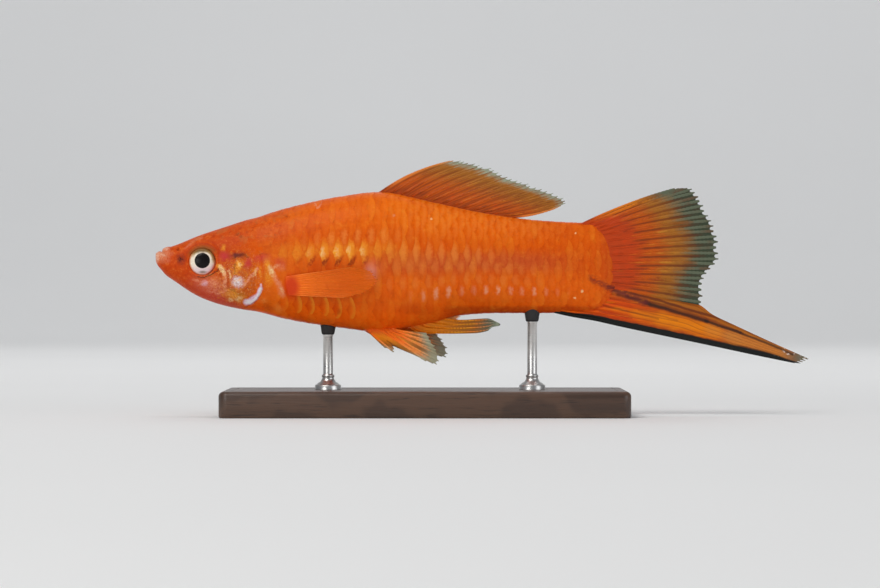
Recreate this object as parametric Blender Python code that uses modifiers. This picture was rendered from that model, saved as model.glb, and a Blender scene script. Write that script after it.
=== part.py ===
"""A male swordtail at life size, swimming level to the left, on a plain display stand.

Sizes are millimetres in the fish's own frame: x runs back from the tip of the snout, h is the
height above that tip, and y points to the fish's right, away from the viewer. world() turns them
into metres about the centre of the stand's underside.
"""

import math

import bmesh
import bpy
import numpy as np
from mathutils import Matrix, Vector

MM = 0.001
GAP = 0.3  # air kept between pieces that touch

# The body, as landmarks down its length: distance behind the snout, height of the back, height of
# the belly, half width, and how the back and the belly round off (1 is an ellipse, less is boxier).
BODY_LENGTH = 70.6
BODY_LANDMARKS = (
    (0.0, 0.45, -0.55, 0.95, 0.60, 0.80),  # tip of the lower jaw
    (0.9, 0.87, -2.15, 1.95, 0.60, 0.85),  # mouth
    (1.4, 1.32, -2.75, 2.15, 0.62, 0.85),  # upper lip
    (3.0, 1.76, -3.90, 2.70, 0.66, 0.85),  # nostrils
    (7.1, 3.40, -6.40, 3.80, 0.74, 0.85),  # eyes
    (10.5, 4.52, -7.55, 4.45, 0.82, 0.85),  # cheek
    (15.0, 5.98, -8.47, 4.95, 0.88, 0.88),  # gill opening
    (22.0, 7.98, -10.05, 5.35, 0.92, 0.92),  # shoulder
    (28.5, 9.31, -11.00, 5.35, 0.94, 0.95),
    (34.0, 9.94, -11.58, 5.10, 0.95, 0.98),  # deepest point, front of the dorsal fin
    (42.5, 8.40, -10.20, 4.35, 0.95, 1.00),  # vent
    (46.5, 7.50, -9.10, 3.85, 0.95, 0.98),
    (52.5, 6.37, -8.74, 3.20, 0.93, 0.95),  # end of the dorsal fin
    (58.5, 5.63, -8.74, 2.65, 0.92, 0.92),  # narrowest of the tail stem
    (64.0, 5.29, -8.60, 2.10, 0.90, 0.90),
    (67.0, 5.20, -8.50, 1.70, 0.90, 0.90),
    (69.4, 3.60, -7.10, 1.15, 0.90, 0.90),  # end of the scaled flesh
    (70.6, 0.60, -4.20, 0.65, 0.90, 0.90),
)
WIDEST_LEVEL = 0.50  # share of the depth, from the belly up, where the body is widest
BODY_RINGS = 58
RING_POINTS = 34

# Where the body is parted. The gill edge runs from above the nape to below the throat.
GILL_EDGE = (
    (13.2, 12.0),
    (14.1, 4.8),
    (15.3, 1.8),
    (16.3, -0.8),
    (16.4, -3.6),
    (15.6, -5.8),
    (14.0, -7.6),
    (12.3, -12.0),
)
TAIL_STEM_START = 56.1
CUT_SHIFT = 0.4  # along x, which leaves about GAP across the slanting gill edge
CUTTER_REACH = 14.0

# Gill cover: a plate on the cheek, its rear margin just inside the gill edge.
GILL_COVER_OUTLINE = (
    (14.2, 0.5),
    (15.1, -0.3),
    (15.55, -1.9),
    (15.5, -3.6),
    (14.8, -5.3),
    (13.3, -6.5),
    (11.8, -6.3),
    (10.6, -5.2),
    (10.0, -3.6),
    (10.4, -1.8),
    (11.6, -0.4),
    (13.0, 0.4),
)
COVER_RAISED = 0.12
COVER_DOMED = 0.22
COVER_SUNK = 0.35
COVER_RINGS = 4

# Eyes
EYE_X = 7.1
EYE_H = -0.6
EYE_RADIUS = 2.15
EYE_AXIS = 2.72  # distance of the eye's centre from the middle of the head
EYE_STEPS = 26

# Mouth: a slit that slants down and back from the notch between the lips to its corners.
MOUTH_NOTCH = (1.0, 0.8)
MOUTH_CORNER = (1.95, -0.55)
MOUTH_WIDTH = 7.0
LIP_RADIUS = 0.36
LIP_OFFSET = 0.37
NOSTRILS = ((3.8, -0.4, 0.36), (2.5, 0.6, 0.22))  # x, h, radius

# Fins: half thickness of the web between the rays, and how far each ray stands out of it.
WEB_HALF = 0.25
TIP_HALF = 0.13
RAY_RIDGE = 0.14

DORSAL_RAYS = 13
DORSAL_BASE = ((34.3, 9.9), (42.0, 8.5), (48.2, 7.1), (54.9, 6.0))
DORSAL_MARGIN = (
    (45.0, 14.8),
    (47.2, 14.3),
    (50.9, 13.3),
    (54.2, 11.6),
    (59.1, 10.2),
    (62.8, 8.4),
    (61.4, 7.5),
)
DORSAL_BOW = (0.65, -0.30)  # sideways bow of the first and the last ray
FIN_ROOT_DEPTH = 1.2  # how far a fin's root runs into the flesh before it is trimmed

TAIL_RAYS = 15
TAIL_ROOT = ((65.4, 5.1), (69.0, 4.0), (70.5, 0.4), (70.3, -3.6), (68.9, -4.75))
TAIL_BOW = (0.35, 0.0)
TAIL_MARGIN = (
    (79.7, 10.4),
    (81.5, 10.4),
    (83.3, 9.0),
    (84.3, 6.7),
    (86.2, 1.8),
    (86.1, -0.2),
    (83.8, -3.6),
    (83.7, -7.5),
)

SWORD_RAYS = 5
SWORD_UPPER = (
    (66.5, -4.72),
    (76.0, -6.48),
    (83.7, -7.9),
    (88.2, -10.3),
    (95.0, -13.4),
    (100.2, -15.7),
)
SWORD_LOWER = (
    (62.5, -7.9),
    (67.2, -9.6),
    (70.6, -10.6),
    (75.9, -11.7),
    (83.8, -13.4),
    (92.7, -15.3),
    (98.6, -16.5),
)

ANAL_RAYS = 3
ANAL_UPPER = ((40.8, -9.0), (46.8, -9.75), (50.8, -9.5), (52.8, -10.35))
ANAL_LOWER = ((40.2, -10.0), (42.0, -11.6), (45.1, -11.7), (50.3, -11.35), (52.8, -10.6))

PECTORAL_RAYS = 11
PECTORAL_BASE = ((20.6, -3.1), (20.9, -5.9))
PECTORAL_MARGIN = ((30.2, -1.6), (33.2, -2.3), (34.2, -3.7), (32.9, -5.3), (29.0, -6.4))
# Distance of the blade outside the flank, against the share of its length from the root.
PECTORAL_LIFT = ((-1.0, -1.2), (0.0, 0.3), (0.2, 0.9), (1.0, 2.0))

PELVIC_RAYS = 6
PELVIC_BASE = ((32.4, -11.4), (36.6, -11.2))
PELVIC_MARGIN = ((35.8, -14.3), (43.0, -16.4), (43.3, -15.2), (42.0, -13.8), (40.6, -12.4))
PELVIC_TILT = {"left": 0.0, "right": 7.0}  # degrees that each blade is folded up to the belly
PELVIC_SHIFT = {"left": 0.0, "right": 1.3}  # along x, of the margin alone
PELVIC_ROOT_Y = 1.25
PELVIC_TIP_Y = 3.1

# Stand
STAND_X = 41.3  # centre of the base, behind the snout
SNOUT_HEIGHT = 24.4  # of the snout above the underside of the base
BASE_LENGTH = 62.0
BASE_WIDTH = 28.0
BASE_THICKNESS = 4.0
BASE_BEVEL = 0.8
ROD_PLACES = {"front": 26.4, "rear": 57.7}  # distance behind the snout
ROD_RADIUS = 0.75
FOOT_RADIUS = 2.0
FOOT_HEIGHT = 0.9
ROD_STEPS = 20

COLOURS = {
    "flesh": ((0.66, 0.11, 0.010), 0.35, 0.0),
    "gill_cover": ((0.55, 0.24, 0.12), 0.30, 0.0),
    "fin": ((0.45, 0.09, 0.008), 0.45, 0.0),
    "sword": ((0.50, 0.13, 0.004), 0.45, 0.0),
    "eye": ((0.62, 0.56, 0.46), 0.12, 0.0),
    "wood": ((0.045, 0.022, 0.012), 0.45, 0.0),
    "steel": ((0.60, 0.60, 0.58), 0.25, 1.0),
}


def world(x, y, h):
    """A point of the fish's own frame as a point in metres over the stand."""
    return Vector(((x - STAND_X) * MM, y * MM, (h + SNOUT_HEIGHT) * MM))


def clear_scene():
    for obj in list(bpy.data.objects):
        bpy.data.objects.remove(obj, do_unlink=True)


def finish(name):
    """The material for one kind of surface, made once."""
    found = bpy.data.materials.get(name)
    if found:
        return found
    colour, roughness, metallic = COLOURS[name]
    made = bpy.data.materials.new(name)
    made.use_nodes = True
    shader = made.node_tree.nodes["Principled BSDF"]
    shader.inputs["Base Color"].default_value = (*colour, 1.0)
    shader.inputs["Roughness"].default_value = roughness
    shader.inputs["Metallic"].default_value = metallic
    return made


def spline(knots, values):
    """A smooth curve through the values that doesn't overshoot them."""
    knots = np.asarray(knots, float)
    values = np.asarray(values, float)
    slopes = np.diff(values) / np.diff(knots)
    pairs = slopes[:-1] * slopes[1:]
    total = slopes[:-1] + slopes[1:]
    inner = np.where(pairs > 0, 2 * pairs / np.where(total == 0, 1, total), 0)
    tangents = np.concatenate([slopes[:1], inner, slopes[-1:]])

    def at(where):
        where = min(max(where, knots[0]), knots[-1])
        i = min(int(np.searchsorted(knots, where, side="right")) - 1, len(knots) - 2)
        span = knots[i + 1] - knots[i]
        t = (where - knots[i]) / span
        return (
            values[i] * (1 + 2 * t) * (1 - t) ** 2
            + span * tangents[i] * t * (1 - t) ** 2
            + values[i + 1] * t * t * (3 - 2 * t)
            + span * tangents[i + 1] * t * t * (t - 1)
        )

    return at


def along(points):
    """A curve through the points, from 0 at the first to 1 at the last."""
    points = np.asarray(points, float)
    steps = np.linalg.norm(np.diff(points, axis=0), axis=1)
    knots = np.concatenate([[0], np.cumsum(steps)]) / steps.sum()
    parts = [spline(knots, points[:, k]) for k in range(points.shape[1])]
    return lambda u: np.array([part(u) for part in parts])


def body_angle(x):
    """A measure of x that opens out at both ends, so that the snout and the tail round off."""
    share = min(max(x / BODY_LENGTH, 0.0), 1.0)
    return math.acos(1 - 2 * share)


BODY_CURVES = [
    spline([body_angle(row[0]) for row in BODY_LANDMARKS], [row[k] for row in BODY_LANDMARKS])
    for k in range(1, 6)
]


def body_at(x):
    """Back, belly, half width and the two roundings of the body at one distance from the snout."""
    return [curve(body_angle(x)) for curve in BODY_CURVES]


def flank(x, h):
    """Half width of the body at a point seen from the side."""
    back, belly, half, back_round, belly_round = body_at(x)
    middle = belly + WIDEST_LEVEL * (back - belly)
    reach, power = (back - middle, back_round) if h > middle else (middle - belly, belly_round)
    share = min(abs(h - middle) / reach, 1.0)
    return half * math.sqrt(1 - share * share) ** power


def body_ring(x, grow):
    """One section of the body, its outline moved out by grow."""
    back, belly, half, back_round, belly_round = body_at(x)
    middle = belly + WIDEST_LEVEL * (back - belly)
    points = []
    for k in range(RING_POINTS):
        turn = 2 * math.pi * k / RING_POINTS
        across, up = math.sin(turn), math.cos(turn)
        power = back_round if up > 0 else belly_round
        reach = (back - middle if up > 0 else middle - belly) + grow
        side = math.copysign((half + grow) * abs(across) ** power, across)
        points.append((side, middle + reach * up))
    return points


def new_object(name, mesh, material=None):
    obj = bpy.data.objects.new(name, mesh)
    bpy.context.scene.collection.objects.link(obj)
    if material:
        mesh.materials.clear()
        mesh.materials.append(finish(material))
    return obj


def from_bmesh(name, shape, material=None):
    bmesh.ops.recalc_face_normals(shape, faces=shape.faces)
    mesh = bpy.data.meshes.new(name)
    shape.to_mesh(mesh)
    shape.free()
    return new_object(name, mesh, material)


def body_loft(name, material=None, grow=0.0):
    """The whole body from snout to tail root, as rings joined by quads and closed at both ends."""
    shape = bmesh.new()
    rings = []
    for k in range(BODY_RINGS + 1):
        x = BODY_LENGTH / 2 * (1 - math.cos(math.pi * k / BODY_RINGS))
        place = x + grow * (2 * x / BODY_LENGTH - 1)
        rings.append([shape.verts.new(world(place, y, h)) for y, h in body_ring(x, grow)])
    for front, rear in zip(rings, rings[1:]):
        for k in range(RING_POINTS):
            n = (k + 1) % RING_POINTS
            shape.faces.new((front[k], front[n], rear[n], rear[k]))
    shape.faces.new(rings[0])
    shape.faces.new(rings[-1])
    return from_bmesh(name, shape, material)


def evaluated_mesh(obj):
    graph = bpy.context.evaluated_depsgraph_get()
    return bpy.data.meshes.new_from_object(obj.evaluated_get(graph))


def boolean(target, operation, other, solver="EXACT"):
    """Cuts target by other, intersects them or joins them, and removes other."""
    modifier = target.modifiers.new(operation, "BOOLEAN")
    modifier.operation = operation
    modifier.solver = solver
    members = other if isinstance(other, list) else [other]
    group = bpy.data.collections.new("joined")
    bpy.context.scene.collection.children.link(group)
    for member in members:
        group.objects.link(member)
    modifier.operand_type = "COLLECTION"
    modifier.collection = group
    mesh = evaluated_mesh(target)
    materials = list(target.data.materials)
    target.modifiers.clear()
    target.data = mesh
    mesh.materials.clear()
    for material in materials:
        mesh.materials.append(material)
    for member in members:
        bpy.data.objects.remove(member, do_unlink=True)
    bpy.data.collections.remove(group)
    return target


def keep_largest(obj):
    """Leaves only the closed surface of greatest volume."""
    shape = bmesh.new()
    shape.from_mesh(obj.data)
    waiting = set(shape.verts)
    bodies = []
    while waiting:
        front = [waiting.pop()]
        body = set(front)
        while front:
            for edge in front.pop().link_edges:
                for vert in edge.verts:
                    if vert in waiting:
                        waiting.remove(vert)
                        body.add(vert)
                        front.append(vert)
        bodies.append(body)

    def volume(body):
        total = 0.0
        for face in {face for vert in body for face in vert.link_faces}:
            corners = [vert.co for vert in face.verts]
            for k in range(1, len(corners) - 1):
                total += corners[0].dot(corners[k].cross(corners[k + 1]))
        return abs(total)

    largest = max(bodies, key=volume)
    scraps = [vert for body in bodies if body is not largest for vert in body]
    bmesh.ops.delete(shape, geom=scraps, context="VERTS")
    shape.to_mesh(obj.data)
    shape.free()
    obj.data.shade_smooth()
    obj.data.set_sharp_from_angle(angle=math.radians(35))
    return obj


def slab(name, outline):
    """A block with the given side view that reaches right through the body."""
    curve = bpy.data.curves.new(name, "CURVE")
    curve.dimensions = "2D"
    curve.fill_mode = "BOTH"
    curve.extrude = CUTTER_REACH * MM
    line = curve.splines.new("POLY")
    line.points.add(len(outline) - 1)
    for point, (x, h) in zip(line.points, outline):
        place = world(x, 0, h)
        point.co = (place.x, place.z, 0, 1)
    line.use_cyclic_u = True
    drawn = bpy.data.objects.new(name, curve)
    bpy.context.scene.collection.objects.link(drawn)
    drawn.rotation_euler = (math.pi / 2, 0, 0)
    bpy.context.view_layer.update()
    mesh = evaluated_mesh(drawn)
    shape = bmesh.new()
    shape.from_mesh(mesh)
    bmesh.ops.remove_doubles(shape, verts=shape.verts, dist=1e-7)
    bmesh.ops.transform(shape, matrix=drawn.matrix_world, verts=shape.verts)
    bpy.data.objects.remove(drawn, do_unlink=True)
    return from_bmesh(name, shape)


def gill_line(shift=0.0, steps=24):
    edge = along(GILL_EDGE)
    return [(x + shift, h) for x, h in (edge(k / steps) for k in range(steps + 1))]


def behind_gills(shift):
    """Everything behind the gill edge."""
    far = BODY_LENGTH + CUTTER_REACH
    return slab("behind_gills", [*gill_line(shift), (far, -CUTTER_REACH), (far, CUTTER_REACH)])


def before_gills(shift):
    """Everything in front of the gill edge."""
    near = -CUTTER_REACH
    return slab("before_gills", [*gill_line(shift), (near, -CUTTER_REACH), (near, CUTTER_REACH)])


def upright_block(name, start, end):
    top = CUTTER_REACH
    return slab(name, [(start, -top), (end, -top), (end, top), (start, top)])


def tube(name, path, radius):
    """A round bar along a path, as a closed mesh."""
    curve = bpy.data.curves.new(name, "CURVE")
    curve.dimensions = "3D"
    curve.bevel_depth = radius * MM
    curve.bevel_resolution = 2
    curve.use_fill_caps = True
    line = curve.splines.new("POLY")
    line.points.add(len(path) - 1)
    for point, place in zip(line.points, path):
        point.co = (*world(*place), 1)
    drawn = bpy.data.objects.new(name, curve)
    bpy.context.scene.collection.objects.link(drawn)
    shape = bmesh.new()
    shape.from_mesh(evaluated_mesh(drawn))
    bmesh.ops.remove_doubles(shape, verts=shape.verts, dist=1e-7)
    bpy.data.objects.remove(drawn, do_unlink=True)
    return from_bmesh(name, shape)


def lip(name, side):
    """One lip: a bar that follows the mouth round the snout, before or behind the slit."""
    notch, corner = np.array(MOUTH_NOTCH), np.array(MOUTH_CORNER)
    run = corner - notch
    across = np.array((-run[1], run[0])) / np.linalg.norm(run)
    half_steps = 6
    path = []
    for k in range(-half_steps, half_steps + 1):
        x, h = notch + run * (k / half_steps) ** 2 + across * side * LIP_OFFSET
        path.append((x, math.copysign(flank(x, h), k) if k else 0.0, h))
    return tube(name, path, LIP_RADIUS)


def mouth_slit():
    """A thin board laid across the snout along the line of the mouth."""
    notch, corner = np.array(MOUTH_NOTCH), np.array(MOUTH_CORNER)
    run = corner - notch
    length = np.linalg.norm(run)
    along_mouth, across = run / length, np.array((-run[1], run[0])) / length
    start = notch - along_mouth * length
    half = across * GAP / 2
    corners = [start - half, corner - half, corner + half, start + half]
    board = slab("mouth_slit", [tuple(c) for c in corners])
    board.data.transform(Matrix.Diagonal((1, MOUTH_WIDTH / 2 / CUTTER_REACH, 1, 1)))
    return board


def pit(name, x, y, h, radius):
    bpy.ops.mesh.primitive_uv_sphere_add(
        segments=12, ring_count=8, radius=radius * MM, location=world(x, y, h)
    )
    made = bpy.context.object
    made.name = name
    return made


def eye_profile(grow):
    """Half outline of an eye from the middle of the pupil over the iris to the back."""
    swell = (EYE_RADIUS + grow) / EYE_RADIUS
    outline = (
        (0.0, 1.62),
        (0.75, 1.58),
        (1.12, 1.46),
        (1.18, 1.36),
        (1.66, 1.08),
        (2.0, 0.66),
        (EYE_RADIUS, 0.10),
        (1.92, -0.70),
        (1.18, -1.25),
        (0.0, -1.50),
    )
    return [(r * swell * MM, 0.0, z * swell * MM) for r, z in outline]


def eye(name, side, grow=0.0, material=None):
    """A flattened ball turned about its own axis, which points out of the head."""
    points = eye_profile(grow)
    mesh = bpy.data.meshes.new(name)
    mesh.from_pydata(points, [(k, k + 1) for k in range(len(points) - 1)], [])
    made = new_object(name, mesh, material)
    turned = made.modifiers.new("turned", "SCREW")
    turned.steps = turned.render_steps = EYE_STEPS
    turned.use_merge_vertices = True
    turned.merge_threshold = 1e-6
    made.location = world(EYE_X, side * EYE_AXIS, EYE_H)
    made.rotation_euler = (-side * math.pi / 2, 0, 0)
    bpy.context.view_layer.update()
    return made


def grown(outline, by):
    """The closed outline moved out by a distance."""
    outline = np.asarray(outline)
    ahead = np.roll(outline, -1, axis=0) - np.roll(outline, 1, axis=0)
    out = np.stack([ahead[:, 1], -ahead[:, 0]], axis=1)
    out /= np.linalg.norm(out, axis=1)[:, None]
    centre = outline.mean(axis=0)
    if ((outline - centre) * out).sum() < 0:
        out = -out
    return outline + out * by


def cheek_plate(name, side, grow, inner, outer, dome=0.0, material=None):
    """A plate that follows the cheek, from inner to outer beyond its surface, higher by dome."""
    edge = along([*GILL_COVER_OUTLINE, GILL_COVER_OUTLINE[0]])
    rim_points = 28
    rim = grown([edge(k / rim_points) for k in range(rim_points)], grow)
    centre = rim.mean(axis=0)
    shape = bmesh.new()
    faces = []
    for offset, domed in ((inner, 0.0), (outer, dome)):
        depth = flank(*centre) + offset + domed
        middle = shape.verts.new(world(centre[0], side * depth, centre[1]))
        grid = []
        for ring in range(1, COVER_RINGS + 1):
            share = ring / COVER_RINGS
            swell = offset + domed * (1 - share**3)
            places = centre + (rim - centre) * share
            grid.append(
                [shape.verts.new(world(x, side * (flank(x, h) + swell), h)) for x, h in places]
            )
        faces.append((middle, grid))
    for middle, grid in faces:
        for k in range(rim_points):
            n = (k + 1) % rim_points
            shape.faces.new((middle, grid[0][k], grid[0][n]))
            for a, b in zip(grid, grid[1:]):
                shape.faces.new((a[k], b[k], b[n]))
                shape.faces.new((a[k], b[n], a[n]))
    inside, outside = faces[0][1][-1], faces[1][1][-1]
    for k in range(rim_points):
        n = (k + 1) % rim_points
        shape.faces.new((inside[k], inside[n], outside[n], outside[k]))
    return from_bmesh(name, shape, material)


def fan(root, margin, sink, bow=(0.0, 0.0)):
    """Side view of a fin whose rays run from a root line, v = 0, to a free margin, v = 1.

    At v = -1 the root is sunk into the flesh.
    """
    root_at, margin_at = along(root), along(margin)

    def place(u, v):
        start, end = root_at(u), margin_at(u)
        if v < 0:
            return start - v * np.array(sink)
        run = end - start
        across = np.array((-run[1], run[0])) / np.linalg.norm(run)
        bend = bow[0] + (bow[1] - bow[0]) * u
        return start + run * v + across * bend * 4 * v * (1 - v)

    return place


def strip(upper, lower):
    """Side view of a fin that lies between two long edges."""
    upper_at, lower_at = along(upper), along(lower)
    return lambda u, v: upper_at(v) * (1 - u) + lower_at(v) * u


def turned_about(place, centre, degrees):
    """The same side view turned about a point; positive lifts the rear."""
    c, s = math.cos(math.radians(degrees)), math.sin(math.radians(degrees))
    turn = np.array(((c, -s), (s, c)))
    return lambda u, v: turn @ (place(u, v) - centre) + centre


def fin(name, place, rays, rows, y_at=None, root_half=0.0, notch=0.04, material="fin"):
    """A thin closed blade. Every other column is a ray, which stands out of the web on both faces.

    A blade with notches between its ray tips is a fan, and has one more row for its sunk root.
    """
    columns = 2 * rays - 1
    levels = [(r / rows) ** 1.25 for r in range(rows + 1)]
    if notch:
        levels = [-1.0, *levels]
    shape = bmesh.new()
    faces = {-1: [], 1: []}
    for c in range(columns):
        u = c / (columns - 1)
        is_ray = c % 2 == 0
        line = {-1: [], 1: []}
        for v in levels:
            reach = v if is_ray or v < 0 else v * (1 - notch)
            x, h = place(u, reach)
            y = y_at(x, h, reach) if y_at else 0.0
            near_root = 1 - max(0.0, v)
            near_tip = max(0.0, (v - 0.75) / 0.25)
            half = WEB_HALF + (TIP_HALF - WEB_HALF) * near_tip + root_half * near_root**2
            if is_ray:
                half += RAY_RIDGE * (0.5 + 0.5 * near_root)
            for face in (-1, 1):
                line[face].append(shape.verts.new(world(x, y + face * half, h)))
        for face in (-1, 1):
            faces[face].append(line[face])
    for grid in faces.values():
        for a, b in zip(grid, grid[1:]):
            for r in range(len(levels) - 1):
                shape.faces.new((a[r], b[r], b[r + 1]))
                shape.faces.new((a[r], b[r + 1], a[r + 1]))

    def rim(grid):
        return [
            *grid[0],
            *[line[-1] for line in grid[1:-1]],
            *grid[-1][::-1],
            *[line[0] for line in grid[-2:0:-1]],
        ]

    left, right = rim(faces[-1]), rim(faces[1])
    for k in range(len(left)):
        n = (k + 1) % len(left)
        shape.faces.new((left[k], left[n], right[n]))
        shape.faces.new((left[k], right[n], right[k]))
    return from_bmesh(name, shape, material)


def trimmed(piece):
    """The piece cut back to stand a gap off the body."""
    boolean(piece, "DIFFERENCE", body_loft("clearance", grow=GAP))
    return keep_largest(piece)


def make_head():
    head = body_loft("head", "flesh")
    boolean(head, "DIFFERENCE", behind_gills(0.0))
    boolean(head, "UNION", [lip("lower_lip", -1), lip("upper_lip", 1)])
    cutters = [mouth_slit()]
    for side in (-1, 1):
        for k, (x, h, radius) in enumerate(NOSTRILS):
            cutters.append(pit(f"nostril_{k}", x, side * flank(x, h), h, radius))
    boolean(head, "DIFFERENCE", cutters)
    for side in (-1, 1):
        socket = eye("socket", side, GAP)
        mesh = evaluated_mesh(socket)
        mesh.transform(socket.matrix_world)
        bpy.data.objects.remove(socket, do_unlink=True)
        boolean(head, "DIFFERENCE", new_object("socket", mesh))
        pocket = cheek_plate("pocket", side, GAP, -COVER_SUNK - GAP, 1.5)
        boolean(head, "DIFFERENCE", pocket)
    return keep_largest(head)


def make_trunk():
    trunk = body_loft("trunk", "flesh")
    boolean(trunk, "DIFFERENCE", before_gills(CUT_SHIFT))
    far = BODY_LENGTH + CUTTER_REACH
    boolean(trunk, "DIFFERENCE", upright_block("tail_side", TAIL_STEM_START, far))
    return keep_largest(trunk)


def make_tail_stem():
    stem = body_loft("tail_stem", "flesh")
    front = upright_block("trunk_side", -CUTTER_REACH, TAIL_STEM_START + GAP)
    boolean(stem, "DIFFERENCE", front)
    return keep_largest(stem)


def make_sides(side_name, side):
    """The paired pieces of one side: eye, gill cover, pectoral fin and pelvic fin."""
    eye(f"eye_{side_name}", side, material="eye")
    name = f"gill_cover_{side_name}"
    depths = (-COVER_SUNK, COVER_RAISED, COVER_DOMED)
    keep_largest(cheek_plate(name, side, 0.0, *depths, material="gill_cover"))
    lift = spline(*zip(*PECTORAL_LIFT))
    pectoral = fin(
        f"pectoral_fin_{side_name}",
        fan(PECTORAL_BASE, PECTORAL_MARGIN, (-FIN_ROOT_DEPTH, 0.0)),
        PECTORAL_RAYS,
        7,
        y_at=lambda x, h, v: side * (flank(x, h) + lift(v)),
        root_half=0.15,
    )
    trimmed(pectoral)
    shift = PELVIC_SHIFT[side_name]
    margin = [(x + shift, h) for x, h in PELVIC_MARGIN]
    blade = fan(PELVIC_BASE, margin, (-0.4, FIN_ROOT_DEPTH))
    spread = spline((-1.0, 0.0, 1.0), (PELVIC_ROOT_Y, PELVIC_ROOT_Y, PELVIC_TIP_Y))
    pelvic = fin(
        f"pelvic_fin_{side_name}",
        turned_about(blade, np.mean(PELVIC_BASE, axis=0), PELVIC_TILT[side_name]),
        PELVIC_RAYS,
        6,
        y_at=lambda x, h, v: side * spread(v),
        root_half=0.15,
    )
    trimmed(pelvic)


def make_middle_fins():
    dorsal = fan(DORSAL_BASE, DORSAL_MARGIN, (-0.3, -FIN_ROOT_DEPTH), DORSAL_BOW)
    trimmed(fin("dorsal_fin", dorsal, DORSAL_RAYS, 7, root_half=0.15))
    tail = fan(TAIL_ROOT, TAIL_MARGIN, (-FIN_ROOT_DEPTH, 0.0), TAIL_BOW)
    trimmed(fin("tail_fin", tail, TAIL_RAYS, 9, root_half=0.30, notch=0.03))
    sword = strip(SWORD_UPPER, SWORD_LOWER)
    trimmed(fin("tail_sword", sword, SWORD_RAYS, 14, root_half=0.40, notch=0, material="sword"))
    anal = strip(ANAL_UPPER, ANAL_LOWER)
    trimmed(fin("anal_fin", anal, ANAL_RAYS, 8, root_half=0.35, notch=0))


def make_base():
    size = Vector((BASE_LENGTH, BASE_WIDTH, BASE_THICKNESS)) * MM
    bpy.ops.mesh.primitive_cube_add(size=1, location=(0, 0, size.z / 2))
    base = bpy.context.object
    base.name = "stand_base"
    base.data.transform(Matrix.Diagonal((*size, 1)))
    base.data.materials.append(finish("wood"))
    edge = base.modifiers.new("edge", "BEVEL")
    edge.width = BASE_BEVEL * MM
    edge.segments = 2
    return base


def make_rod(name, x):
    """A turned rod with a broad foot on the base; its top is trimmed to the belly."""
    foot = BASE_THICKNESS - SNOUT_HEIGHT + GAP
    belly = body_at(x)[1]
    outline = (
        (0.0, belly + 1.0),
        (ROD_RADIUS, belly + 1.0),
        (ROD_RADIUS, foot + 2 * FOOT_HEIGHT),
        (FOOT_RADIUS, foot + FOOT_HEIGHT * 0.6),
        (FOOT_RADIUS, foot),
        (0.0, foot),
    )
    mesh = bpy.data.meshes.new(name)
    points = [(r * MM, 0.0, (h + SNOUT_HEIGHT) * MM) for r, h in outline]
    mesh.from_pydata(points, [(k, k + 1) for k in range(len(points) - 1)], [])
    rod = new_object(name, mesh, "steel")
    rod.location = ((x - STAND_X) * MM, 0, 0)
    turned = rod.modifiers.new("turned", "SCREW")
    turned.steps = turned.render_steps = ROD_STEPS
    turned.use_merge_vertices = True
    turned.merge_threshold = 1e-6
    bpy.context.view_layer.update()
    return trimmed(rod)


def collect():
    """Puts every piece in one collection named for the object."""
    group = bpy.data.collections.new("swordtail")
    bpy.context.scene.collection.children.link(group)
    for obj in list(bpy.context.scene.collection.objects):
        bpy.context.scene.collection.objects.unlink(obj)
        group.objects.link(obj)


def main():
    clear_scene()
    make_head()
    make_trunk()
    make_tail_stem()
    make_sides("left", -1)
    make_sides("right", 1)
    make_middle_fins()
    make_base()
    for place, x in ROD_PLACES.items():
        make_rod(f"stand_rod_{place}", x)
    collect()


main()
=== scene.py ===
"""The looks of a life-size male swordtail on its display stand, laid out as an add-on.

Lengths are millimetres in the fish's own frame unless a name says otherwise: x runs back from the
tip of the snout, h is the height above that tip, and y points to the fish's right.
"""

import math
from functools import cached_property

import bpy
import numpy as np
from bpy.props import FloatProperty, FloatVectorProperty, IntProperty, PointerProperty
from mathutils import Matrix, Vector

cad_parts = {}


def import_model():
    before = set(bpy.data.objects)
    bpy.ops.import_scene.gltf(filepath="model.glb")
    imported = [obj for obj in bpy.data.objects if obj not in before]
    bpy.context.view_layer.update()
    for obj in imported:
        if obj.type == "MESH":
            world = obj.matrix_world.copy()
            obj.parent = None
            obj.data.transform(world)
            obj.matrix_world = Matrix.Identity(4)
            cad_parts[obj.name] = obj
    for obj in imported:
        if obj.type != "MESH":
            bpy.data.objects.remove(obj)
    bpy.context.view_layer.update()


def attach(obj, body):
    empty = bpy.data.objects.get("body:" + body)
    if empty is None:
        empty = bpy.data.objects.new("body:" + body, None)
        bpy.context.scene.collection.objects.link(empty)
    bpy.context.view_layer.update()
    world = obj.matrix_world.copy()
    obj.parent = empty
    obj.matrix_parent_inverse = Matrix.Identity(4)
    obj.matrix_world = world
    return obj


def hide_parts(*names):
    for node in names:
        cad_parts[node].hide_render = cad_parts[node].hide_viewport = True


bl_info = {
    "name": "Swordtail Display Model",
    "version": (1, 0, 0),
    "blender": (4, 5, 0),
    "location": "View3D > Sidebar > Swordtail",
    "description": "Skin, scales, fins, eyes and stand of a life-size male swordtail",
    "category": "Object",
}

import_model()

MM = 0.001
SHARP_EDGE = 70.0  # degrees; edges that turn more stay crisp
STAND_X = 41.3  # centre of the stand behind the snout
SNOUT_HEIGHT = 24.4  # of the snout above the floor
BODY = "root"
SIDES = {"left": -1, "right": 1}

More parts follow.
